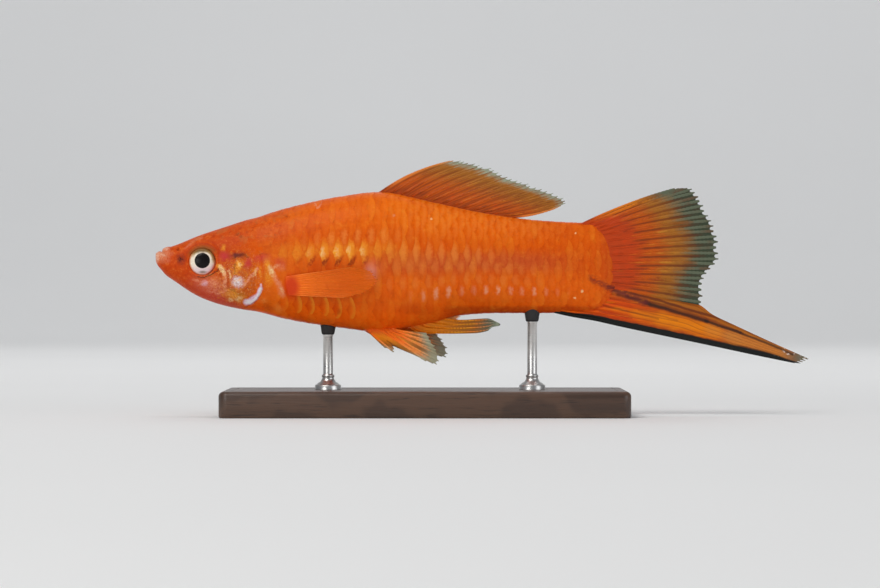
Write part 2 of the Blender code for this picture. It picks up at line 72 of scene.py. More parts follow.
# Distance behind the snout, height of back and belly, half width, rounding of back and belly.
BODY_LENGTH = 70.6
BODY_LANDMARKS = (
    (0.0, 0.45, -0.55, 0.95, 0.60, 0.80),
    (0.9, 0.87, -2.15, 1.95, 0.60, 0.85),
    (1.4, 1.32, -2.75, 2.15, 0.62, 0.85),
    (3.0, 1.76, -3.90, 2.70, 0.66, 0.85),
    (7.1, 3.40, -6.40, 3.80, 0.74, 0.85),
    (10.5, 4.52, -7.55, 4.45, 0.82, 0.85),
    (15.0, 5.98, -8.47, 4.95, 0.88, 0.88),
    (22.0, 7.98, -10.05, 5.35, 0.92, 0.92),
    (28.5, 9.31, -11.00, 5.35, 0.94, 0.95),
    (34.0, 9.94, -11.58, 5.10, 0.95, 0.98),
    (42.5, 8.40, -10.20, 4.35, 0.95, 1.00),
    (46.5, 7.50, -9.10, 3.85, 0.95, 0.98),
    (52.5, 6.37, -8.74, 3.20, 0.93, 0.95),
    (58.5, 5.63, -8.74, 2.65, 0.92, 0.92),
    (64.0, 5.29, -8.60, 2.10, 0.90, 0.90),
    (67.0, 5.20, -8.50, 1.48, 0.90, 0.90),
    (69.4, 3.60, -7.10, 0.82, 0.90, 0.90),
    (70.6, 0.60, -4.20, 0.45, 0.90, 0.90),
)

EYE = (7.36, -0.85)
EYE_AXIS = 2.72
EYE_OPENING = 2.0
PUPIL_RISE = 0.19  # of the pupil over the middle of the eye
# radius and distance out of the head, from the back of the ball to the pupil
EYE_PROFILE = (
    (0.0, -1.35), (0.6, -1.3), (1.2, -1.1), (1.7, -0.8), (2.00, -0.45), (2.10, 0.1), (2.07, 0.50),
    (1.98, 0.80), (1.86, 0.98), (1.70, 1.13), (1.50, 1.255), (1.30, 1.35), (1.20, 1.395),
    (1.14, 1.43), (1.02, 1.48), (0.85, 1.52), (0.6, 1.56), (0.3, 1.59), (0.0, 1.60),
)
MOUTH_NOTCH = (0.9, 0.8)
MOUTH_CORNER = (1.95, -0.55)
NOSTRILS = ((3.98, -0.45, 0.32), (3.5, 1.05, 0.20))
GILL_EDGE = (
    (15.4, 1.8), (16.5, -0.8), (16.75, -3.6), (16.35, -5.4), (15.4, -6.9), (13.9, -7.75),
    (12.0, -8.3),
)

SKIN_COLUMNS = 232  # of the skin's mesh, round the body
TURNED_STEPS = 64  # round a turned piece

SCALE_RINGS = 59
SCALE_RING = 1.07  # from the first ring of scales to the second
SCALE_CLOSING = 0.0018  # how the rings draw closer together to the tail
SCALE_ROWS = 24  # round the whole body
GIRTH_X = 30.0  # where the rows are laid out round the body
SCALES_FROM = 14.08  # x of the first and the last ring of scales
SCALES_TO = 69.9

WEB_STEPS = 14  # of a web's mesh from ray to ray
DORSAL_BASE = ((34.3, 9.9), (42.0, 8.5), (48.2, 7.1), (54.9, 6.0))
DORSAL_MARGIN = (
    (45.3, 14.75), (47.6, 14.45), (51.2, 13.42), (54.6, 11.92), (59.4, 10.22), (63.0, 8.45),
    (61.6, 7.5),
)
DORSAL_BOW = (0.65, -0.30)
TAIL_ROOT = ((65.4, 5.1), (69.0, 4.0), (70.5, 0.4), (70.3, -3.6), (68.9, -4.75))
TAIL_MARGIN = (
    (79.7, 10.4), (81.5, 10.4), (83.3, 9.0), (84.3, 6.7), (86.2, 1.8), (86.1, -0.2), (83.8, -3.6),
    (83.7, -7.5),
)
TAIL_BOW = (0.35, 0.0)
SWORD_UPPER = (
    (65.5, -4.0), (76.0, -5.95), (83.2, -7.35), (85.4, -8.9), (88.4, -10.35), (95.0, -13.4),
    (100.2, -15.7),
)
SWORD_LOWER = (
    (60.8, -8.6), (63.5, -9.2), (67.2, -9.85), (71.2, -10.75), (75.9, -11.75), (83.8, -13.4),
    (92.7, -15.3), (98.6, -16.5),
)
SWORD_GAPS = 8  # between the ridges of its rays
SWORD_JOINTS = 52
ANAL_UPPER = ((40.6, -8.6), (46.8, -9.7), (50.8, -9.5), (52.8, -10.35))
ANAL_LOWER = (
    (37.6, -10.2), (41.2, -11.85), (45.1, -11.85), (48.8, -11.78), (50.9, -11.40), (51.5, -10.85),
    (52.8, -10.55),
)
ANAL_LOBE_UPPER = ((40.6, -8.2), (44.0, -8.7), (46.9, -9.10))
ANAL_LOBE_LOWER = ((40.4, -9.6), (44.0, -9.9), (46.9, -9.75))
PECTORAL_BASE = ((20.6, -3.1), (20.9, -5.9))
PECTORAL_MARGIN = ((30.2, -1.6), (33.2, -2.3), (34.2, -3.7), (32.9, -5.3), (29.0, -6.4))
PECTORAL_BLOB = ((20.95, -4.7), (1.15, 1.75))  # centre and reach of the red at the fin's root
PELVIC_BASE = ((32.4, -11.4), (36.6, -11.2))
PELVIC_MARGIN = ((35.6, -14.4), (43.0, -16.4), (43.3, -15.2), (42.6, -13.7), (41.6, -11.7))
PELVIC_RAYS = (0.03, 0.50, 0.62, 0.74, 0.86, 0.97)  # places along the root
PELVIC_TILT = {"left": 0.0, "right": 6.0}
PELVIC_SHIFT = {"left": 0.0, "right": 0.9}

ROD_PLACES = {"front": 26.4, "rear": 57.7}
# radius and height of a rod's turned foot, over the base, and of its top, from the belly
ROD_FOOT = (
    (0.0, 0.0), (2.0, 0.0), (2.0, 0.62), (1.92, 0.74), (1.72, 0.80), (1.60, 0.98), (1.22, 1.18),
    (0.98, 1.55), (0.88, 1.85), (0.98, 2.0), (0.98, 2.18), (0.80, 2.32), (0.75, 2.5),
)
ROD_TOP = ((0.75, -1.6), (0.80, -1.5), (0.80, -1.1), (0.0, -1.1))
PAD_PROFILE = (
    (0.0, -1.25), (0.80, -1.25), (0.95, -1.15), (1.02, -0.9), (1.10, -0.3), (1.18, 0.02),
    (1.10, 0.10), (0.9, 0.06), (0.0, 0.05),
)
BASE_LONG = 62.0
BASE_WIDE = 28.0
BASE_THICK = 4.0
BASE_CORNER = 1.4  # radius of the corners seen from above
BASE_ROLL = 0.8  # radius of the top edge


def world(x, y, h):
    """Points of the fish's frame, as an array of metres over the stand."""
    x, y, h = np.broadcast_arrays(x, y, h)
    return np.stack([x - STAND_X, y, h + SNOUT_HEIGHT], axis=-1) * MM


def smooth(low, high, value):
    """0 below low and 1 above high, with a smooth step between; low may be the larger."""
    t = np.clip((np.asarray(value, float) - low) / (high - low), 0, 1)
    return t * t * (3 - 2 * t)


def hump(offset, width):
    """1 where the offset is 0, falling off like a bell to either side."""
    return np.exp(-((offset / width) ** 2))


def unit(vectors):
    """The vectors with a length of 1."""
    return vectors / np.maximum(np.linalg.norm(vectors, axis=-1, keepdims=True), 1e-9)


def spline(knots, values):
    """A smooth curve through the values that doesn't overshoot them."""
    knots = np.asarray(knots, float)
    values = np.asarray(values, float)
    slopes = np.diff(values) / np.diff(knots)
    pairs = slopes[:-1] * slopes[1:]
    total = slopes[:-1] + slopes[1:]
    inner = np.where(pairs > 0, 2 * pairs / np.where(total == 0, 1, total), 0)
    tangents = np.concatenate([slopes[:1], inner, slopes[-1:]])

    def at(where):
        where = np.clip(where, knots[0], knots[-1])
        i = np.clip(np.searchsorted(knots, where, side="right") - 1, 0, len(knots) - 2)
        span = knots[i + 1] - knots[i]
        t = (where - knots[i]) / span
        return (
            values[i] * (1 + 2 * t) * (1 - t) ** 2
            + span * tangents[i] * t * (1 - t) ** 2
            + values[i + 1] * t * t * (3 - 2 * t)
            + span * tangents[i + 1] * t * t * (t - 1)
        )

    return at


def along(points):
    """A curve through the points, from 0 at the first to 1 at the last."""
    points = np.asarray(points, float)
    steps = np.linalg.norm(np.diff(points, axis=0), axis=1)
    knots = np.concatenate([[0], np.cumsum(steps)]) / steps.sum()
    parts = [spline(knots, points[:, k]) for k in range(points.shape[1])]
    return lambda u: np.stack([part(u) for part in parts], axis=-1)


def body_angle(x):
    """A measure of x that opens out at both ends, so that the snout and the tail round off."""
    return np.arccos(1 - 2 * np.clip(np.asarray(x, float) / BODY_LENGTH, 0, 1))


BODY_CURVES = [
    spline(body_angle([row[0] for row in BODY_LANDMARKS]), [row[k] for row in BODY_LANDMARKS])
    for k in range(1, 6)
]


def body_at(x):
    """Back, belly, half width and the two roundings of the body."""
    angle = body_angle(x)
    return [curve(angle) for curve in BODY_CURVES]


def flank(x, h):
    """Half width of the body at a point seen from the side."""
    back, belly, half, back_round, belly_round = body_at(x)
    middle = (belly + back) / 2
    share = np.clip(np.abs(h - middle) / (back - middle), 0, 1)
    power = np.where(h > middle, back_round, belly_round)
    return half * np.sqrt(1 - share * share) ** power


def body_point(x, turn):
    """The body's surface at a turn round it, which is 0 on the back and half pi on the right."""
    back, belly, half, back_round, belly_round = body_at(x)
    middle = (belly + back) / 2
    across, up = np.sin(turn), np.cos(turn)
    power = np.where(up > 0, back_round, belly_round)
    y = half * np.sign(across) * np.abs(across) ** power
    return np.stack(np.broadcast_arrays(x, y, middle + (back - middle) * up), axis=-1)


def body_normal(x, turn):
    """Outward direction of the body's surface."""
    step = 0.02
    low = np.maximum(x - step, 0.0)
    high = np.minimum(x + step, BODY_LENGTH)
    back = body_point(high, turn) - body_point(low, turn)
    around = body_point(x, turn + step) - body_point(x, turn - step)
    return unit(np.cross(back, around))


class Socket:
    """One output of a node, on which sums and products add Math nodes."""

    def __init__(self, graph, output):
        self.graph = graph
        self.output = output

    def __add__(self, other):
        return self.graph.maths("ADD", self, other)

    def __sub__(self, other):
        return self.graph.maths("SUBTRACT", self, other)

    def __rsub__(self, other):
        return self.graph.maths("SUBTRACT", other, self)

    def __mul__(self, other):
        return self.graph.maths("MULTIPLY", self, other)

    def __truediv__(self, other):
        return self.graph.maths("DIVIDE", self, other)

    def __pow__(self, other):
        return self.graph.maths("POWER", self, other)

    def __abs__(self):
        return self.graph.maths("ABSOLUTE", self)

    __radd__ = __add__
    __rmul__ = __mul__

    def most(self, other):
        return self.graph.maths("MAXIMUM", self, other)

    def least(self, other):
        return self.graph.maths("MINIMUM", self, other)


class Finish:
    """A material under construction, with the shapes that markings are drawn from."""

    def __init__(self, name, roughness=0.4, **constants):
        self.material = bpy.data.materials.new(name)
        self.material.use_nodes = True
        self.tree = self.material.node_tree
        self.shader = self.tree.nodes["Principled BSDF"]
        self.shader.inputs["Roughness"].default_value = roughness
        for socket, value in constants.items():
            self.shader.inputs[socket.replace("_", " ")].default_value = value
        self.colours = bpy.context.scene.swordtail_colours
        self.colour = None  # the base colour, as painted so far

    def node(self, kind, settings=None, output=0, **sockets):
        """A node with its settings made first and then its sockets filled or linked."""
        made = self.tree.nodes.new("ShaderNode" + kind)
        for name, value in (settings or {}).items():
            setattr(made, name, value)
        for name, value in sockets.items():
            place = int(name[1:]) if name[0] == "i" and name[1:].isdigit() else name
            self.put(made.inputs[place], value)
        return Socket(self, made.outputs[output])

    def put(self, socket, value):
        if isinstance(value, Socket):
            self.tree.links.new(value.output, socket)
        elif socket.type == "RGBA" and len(value) == 3:
            socket.default_value = (*value, 1.0)
        else:
            socket.default_value = value

    def maths(self, operation, a, b=0.0):
        return self.node("Math", {"operation": operation}, i0=a, i1=b)

    def vector(self, operation, a, b=(0.0, 0.0, 0.0), output=0):
        return self.node("VectorMath", {"operation": operation}, output=output, i0=a, i1=b)

    def ramp(self, value, low, high, start=0.0, end=1.0):
        """A smooth step of value from low to high, which gives start and end."""
        if low > high:
            low, high, start, end = high, low, end, start
        settings = {"interpolation_type": "SMOOTHSTEP"}
        return self.node("MapRange", settings, i0=value, i1=low, i2=high, i3=start, i4=end)

    def band(self, value, low, high, soft):
        """1 from low to high and 0 outside, with soft edges."""
        rise = self.ramp(value, low - soft, low + soft)
        return rise * self.ramp(value, high + soft, high - soft)

    def mix(self, share, a, b):
        """Colour a where share is 0 and colour b where it is 1."""
        settings = {"data_type": "RGBA", "clamp_factor": True}
        return self.node("Mix", settings, output=2, i0=share, i6=a, i7=b)

    def parts(self, vector):
        split = self.node("SeparateXYZ", i0=vector).output.node
        return [Socket(self, output) for output in split.outputs]

    def uv(self, name):
        return self.parts(self.node("UVMap", {"uv_map": name}))[:2]

    def attribute(self, name):
        return self.node("Attribute", {"attribute_name": name}, output="Fac")

    @cached_property
    def bare(self):
        """The object coordinates, in metres."""
        return self.node("TexCoord", output="Object")

    def fish_place(self):
        """x behind the snout and h above it in millimetres, and both as one flat place."""
        x, _, z = self.parts(self.bare)
        x, h = x * 1000.0 + STAND_X, z * 1000.0 - SNOUT_HEIGHT
        return x, h, self.node("CombineXYZ", X=x, Y=h)

    def noise(self, per_mm, detail=3.0, rough=0.55, stretch=(1, 1, 1), shift=0.0, output="Fac"):
        """Soft noise about 0.5, with a given count of lumps to the millimetre."""
        sized = self.node(
            "Mapping",
            {"vector_type": "POINT"},
            Vector=self.bare,
            Location=(shift, shift * 0.7, -shift),
            Scale=tuple(s * per_mm * 1000.0 for s in stretch),
        )
        sockets = {"Vector": sized, "Scale": 1.0, "Detail": detail, "Roughness": rough}
        return self.node("TexNoise", output=output, **sockets)

    def wavy(self, flat, per_mm, reach, shift=0.0):
        """The flat place moved about by soft noise with a reach in millimetres."""
        away = self.noise(per_mm, 3.0, shift=shift, output="Color")
        away = self.vector("SUBTRACT", away, (0.5, 0.5, 0.5))
        return self.vector("ADD", flat, self.vector("MULTIPLY", away, (3 * reach, 3 * reach, 0.0)))

    def spot(self, flat, centre, radii, tilt=0.0, soft=0.35, most=1.0):
        """A share of most in an ellipse that leans back by tilt degrees, 0 outside."""
        away = self.vector("SUBTRACT", flat, (*centre, 0.0))
        if not tilt:
            away = self.vector("DIVIDE", away, (*radii, 1.0))
        else:
            c, s = math.cos(math.radians(tilt)), math.sin(math.radians(tilt))
            along_it = self.vector("DOT_PRODUCT", away, (c / radii[0], s / radii[0], 0), "Value")
            across = self.vector("DOT_PRODUCT", away, (-s / radii[1], c / radii[1], 0), "Value")
            away = self.node("CombineXYZ", X=along_it, Y=across)
        reach = self.vector("LENGTH", away, output="Value")
        return self.ramp(reach, 1 + soft, 1 - soft, 0.0, most)

    def stroke(self, flat, points, half, soft=0.5, most=1.0):
        """A share of most along a line of points, 0 further from it than about half."""
        nearest = None
        for (x0, h0), (x1, h1) in zip(points, points[1:]):
            run = (x1 - x0, h1 - h0, 0.0)
            square = run[0] ** 2 + run[1] ** 2
            away = self.vector("SUBTRACT", flat, (x0, h0, 0.0))
            share = self.vector("DOT_PRODUCT", away, tuple(r / square for r in run), "Value")
            share = self.node("Clamp", i0=share, i1=0.0, i2=1.0)
            beside = self.node("VectorMath", {"operation": "SCALE"}, i0=run, i3=share)
            distance = self.vector("DISTANCE", away, beside, output="Value")
            nearest = distance if nearest is None else nearest.least(distance)
        return self.ramp(nearest, half * (1 + soft), half * (1 - soft), 0.0, most)

    def blend(self, share, a, b):
        """Makes the base colour a blend of two others."""
        self.colour = self.mix(share, a, b)

    def paint(self, share, name):
        """Lays a share of a named colour over the painting."""
        self.colour = self.mix(share, self.colour, getattr(self.colours, name))

    def mark(self, flat, marks, flecks=1.0):
        """Lays a list of marks over the painting, the last on top, broken up by flecks."""
        for name, share, soft, size, *points in marks:
            if len(points) == 1:
                mask = self.spot(flat, points[0], size[:2], *size[2:], soft=soft, most=share)
            else:
                mask = self.stroke(flat, points, size, soft, share)
            self.paint(mask * flecks, name)

    def done(self, roughness=None, alpha=None, coat=None, bump=None, depth=0.05):
        """Links what varies over the surface; bump is a height in millimetres of depth."""
        for name, value in (
            ("Base Color", self.colour),
            ("Roughness", roughness),
            ("Alpha", alpha),
            ("Coat Weight", coat),
        ):
            if value is not None:
                self.put(self.shader.inputs[name], value)
        if bump is not None:
            relief = self.node("Bump", Height=bump, Strength=1.0, Distance=depth * MM)
            self.put(self.shader.inputs["Normal"], relief)
        return self.material


def placed(name, data):
    """A new object in the scene."""
    made = bpy.data.objects.new(name, data)
    bpy.context.scene.collection.objects.link(made)
    return made


def mesh_piece(name, points, faces, material, maps=None, shades=None):
    """A smooth mesh object from points in millimetres of the fish's frame."""
    points = np.asarray(points, float).reshape(-1, 3)
    mesh = bpy.data.meshes.new(name)
    mesh.from_pydata(world(points[:, 0], points[:, 1], points[:, 2]).tolist(), [], faces)
    corners = np.zeros(len(mesh.loops), np.int32)
    mesh.loops.foreach_get("vertex_index", corners)
    for map_name, values in (maps or {}).items():
        layer = mesh.uv_layers.new(name=map_name)
        layer.data.foreach_set("uv", np.asarray(values, np.float32)[corners].ravel())
    for shade_name, values in (shades or {}).items():
        shade = mesh.attributes.new(shade_name, "FLOAT", "POINT")
        shade.data.foreach_set("value", np.asarray(values, np.float32))
    mesh.polygons.foreach_set("use_smooth", [True] * len(mesh.polygons))
    mesh.materials.append(material)
    mesh.update()
    mesh.set_sharp_from_angle(angle=math.radians(SHARP_EDGE))
    return placed(name, mesh)


def sheet_faces(rows, columns, around=False, first=0, flip=False):
    """Quads of a grid of points, which face along column step x row step unless flipped."""
    r = np.arange(rows - 1)[:, None]
    c = np.arange(columns if around else columns - 1)[None, :]
    n = (c + 1) % columns
    low, high = r * columns, (r + 1) * columns
    quads = np.stack(np.broadcast_arrays(low + c, low + n, high + n, high + c), axis=-1)
    quads = quads.reshape(-1, 4) + first
    return (quads[:, ::-1] if flip else quads).tolist()


def poled_faces(rows, around):
    """Faces of rings of points that two last points close, one at each end."""
    count, last = rows * around, (rows - 1) * around
    faces = sheet_faces(rows, around, around=True)
    faces += [(count, (k + 1) % around, k) for k in range(around)]
    faces += [(count + 1, last + k, last + (k + 1) % around) for k in range(around)]
    return faces


def capped_faces(rows, around, first=0):
    """Faces of rings of points with a flat cap at each end."""
    last = first + (rows - 1) * around
    faces = sheet_faces(rows, around, around=True, first=first)
    faces.append(tuple(range(first + around - 1, first - 1, -1)))
    faces.append(tuple(range(last, last + around)))
    return faces


def plate_faces(rows, columns, first=0):
    """Faces of a thin closed plate: a grid, the same grid on its underside and the rim."""
    count = rows * columns
    faces = sheet_faces(rows, columns, first=first)
    faces += sheet_faces(rows, columns, first=first + count, flip=True)
    rim = [r * columns for r in range(rows)]
    rim += [(rows - 1) * columns + c for c in range(1, columns)]
    rim += [r * columns + columns - 1 for r in range(rows - 2, -1, -1)]
    rim += [c for c in range(columns - 2, 0, -1)]
    for a, b in zip(rim, rim[1:] + rim[:1]):
        faces.append((first + a, first + b, first + count + b, first + count + a))
    return faces


def adopt(piece, slot, *nodes):
    """The piece rides on the fish's one body and may stand for solids of the frame."""
    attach(piece, BODY)
    if nodes:
        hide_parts(*nodes)


def turned(name, outline, material, centre=(0.0, 0.0), squash=None):
    """A turned piece about an upright axis from (radius, height) rows, bottom to top."""
    outline = np.asarray(outline, float)
    a = np.arange(TURNED_STEPS) * 2 * math.pi / TURNED_STEPS
    rings = outline[1:-1]
    x = centre[0] + rings[:, :1] * np.cos(a)
    y = centre[1] + rings[:, :1] * np.sin(a)
    h = np.broadcast_to(rings[:, 1:2], x.shape)
    points = np.stack([x, y, h], axis=-1).reshape(-1, 3)
    ends = [(*centre, outline[0, 1]), (*centre, outline[-1, 1])]
    points = np.concatenate([points, ends])
    if squash is not None:
        points = squash(points)
    return mesh_piece(name, points, poled_faces(len(rings), TURNED_STEPS), material)


# ------------------------------------------------------------------ skin


def skin_relief(x, h):
    """Folds, lips, sockets and plates of the skin, as height over the plain body."""
    notch, corner = np.array(MOUTH_NOTCH), np.array(MOUTH_CORNER)
    length = np.linalg.norm(corner - notch)
    run = (corner - notch) / length
    down = (x - notch[0]) * run[0] + (h - notch[1]) * run[1]
    off = -(x - notch[0]) * run[1] + (h - notch[1]) * run[0]
    fade = smooth(length + 0.1, length - 0.5, down) * smooth(-1.6, -0.6, down)
    height = 0.09 * (hump(np.abs(off) - 0.40, 0.24) * fade) - 0.13 * (hump(off, 0.13) * fade)
    top = smooth(0.6, 1.2, h)
    height += 0.07 * hump(x - 1.60, 0.36) * top
    height -= 0.05 * hump(x - 2.35, 0.35) * top
    for nx, nh, radius in NOSTRILS:
        r = np.hypot(x - nx, h - nh)
        height -= 0.22 * hump(r, radius)
        height += 0.05 * hump(r - radius * 1.7, radius * 0.6)
    r = np.hypot(x - EYE[0], h - EYE[1])
    height -= 1.4 * smooth(EYE_OPENING + 0.06, EYE_OPENING - 0.12, r)
    height += 0.10 * hump(r - EYE_OPENING - 0.30, 0.2)
    height -= 0.06 * hump(r - EYE_OPENING - 0.85, 0.25)
    fold = smooth(-0.6, 0.8, h - EYE[1]) * smooth(-0.5, 0.5, x - EYE[0] + 1.0)
    height += 0.06 * hump(r - EYE_OPENING - 1.25, 0.2) * fold
    ahead = gill_edge(h) - x
    reach = smooth(1.6, 0.0, h) * smooth(-8.15, -7.6, h)
    groove = 0.07 + 0.09 * smooth(-3.0, -5.0, h)
    height -= groove * hump(ahead + 0.16, 0.16) * reach
    height += 0.10 * smooth(1.6, 0.20, ahead) * smooth(-0.08, 0.06, ahead) * reach
    cover = np.hypot((x - 13.1) / 2.9, (h + 3.1) / 3.7)
    height += 0.20 * smooth(1.05, 0.55, cover)
    cheek = np.hypot((x - 13.6) / 3.3, (h + 3.3) / 4.0)
    return height - 0.09 * hump(cheek - 1, 0.07) * smooth(13.4, 12.6, x)


def skin_depth(x):
    """How far the skin lies under the body's outline: more where the scales cover it."""
    return 0.02 + 0.12 * smooth(SCALES_FROM - 0.6, SCALES_FROM + 1.6, x)


def make_skin():
    """The skin as rings of points, closest at the snout, on the head and at the tail's root."""
    snout_end, head_end, trunk_end, rest = 1.4, 18.0, 66.0, 4.6
    snout = snout_end * (1 - np.cos(np.linspace(0, math.pi / 2, 26)))
    head = np.linspace(snout_end, head_end, 190)[1:]
    trunk = np.linspace(head_end, trunk_end, 150)[1:]
    end = trunk_end + rest * np.sin(np.linspace(0, math.pi / 2, 24))[1:]
    x = np.concatenate([snout, head, trunk, end])[:, None]
    turn = (np.arange(SKIN_COLUMNS) * -2 * math.pi / SKIN_COLUMNS)[None, :]
    surface = body_point(x, turn)
    out = body_normal(np.maximum(x, 0.02), turn)
    relief = skin_relief(surface[..., 0], surface[..., 2]) - skin_depth(surface[..., 0])
    points = surface + out * relief[..., None]
    flat = np.concatenate([points.reshape(-1, 3), points[[0, -1]].mean(axis=1)])
    return mesh_piece("skin", flat, poled_faces(len(x), SKIN_COLUMNS), skin_material())


def body_markings(f, x, h):
    """The broad colours of the body, from orange back to red-orange belly."""
    c = f.colours
    wander = f.noise(0.30, 2.0, shift=3.1) - 0.5
    top = f.ramp(x, 6.0, 32.0, 3.4, 9.6) - f.ramp(x, 36.0, 60.0, 0.0, 4.3)
    high = h / top + wander * 0.3
    f.blend(f.ramp(high, 0.10, 0.85), c.flank, c.back)
    middle = f.band(x, 30.0, 52.0, 8.0) * f.ramp(high, 0.2, 0.8)
    f.paint(middle * 0.6, "sunny")
    # the lower flank and the belly are paler: partly the fish's own paler underside, partly
    # painted light for the light that reaches less under the body
    low = f.ramp(h + wander * 2.0, -1.5, -5.0)
    f.paint(low, "lower")
    f.paint(f.ramp(h + wander * 1.5, -6.6, -9.4) * 0.9, "belly")
    stem = f.ramp(x, 42.0, 47.0) * f.ramp(h + wander * 0.4, -7.35, -7.95)
    f.paint(stem * 0.58, "crimson")
    f.paint(f.ramp(x, 52.0, 60.0) * f.ramp(h, 1.5, 4.0) * 0.20, "crimson")
    band = f.band(h + wander * 1.2, -2.4, 0.5, 1.2) * f.band(x, 35.0, 62.0, 6.0)
    f.paint(band * 0.55, "mauve")
    root = f.ramp(x - abs(h + 1.0) * 0.10 + wander * 2.5, 66.8, 70.4)
    f.paint(root * 0.85, "fin_root")
    mottle = f.noise(0.9, 4.0, 0.7, shift=8.0)
    f.paint(f.ramp(mottle, 0.50, 0.72) * 0.16, "gold")
    f.paint(f.ramp(mottle, 0.48, 0.30) * 0.24, "crimson")
    fine = f.noise(2.6, 3.0, 0.7, shift=28.0)
    f.paint(f.ramp(fine, 0.54, 0.70) * 0.14, "peach")
    f.paint(f.ramp(fine, 0.45, 0.30) * 0.18, "crimson")


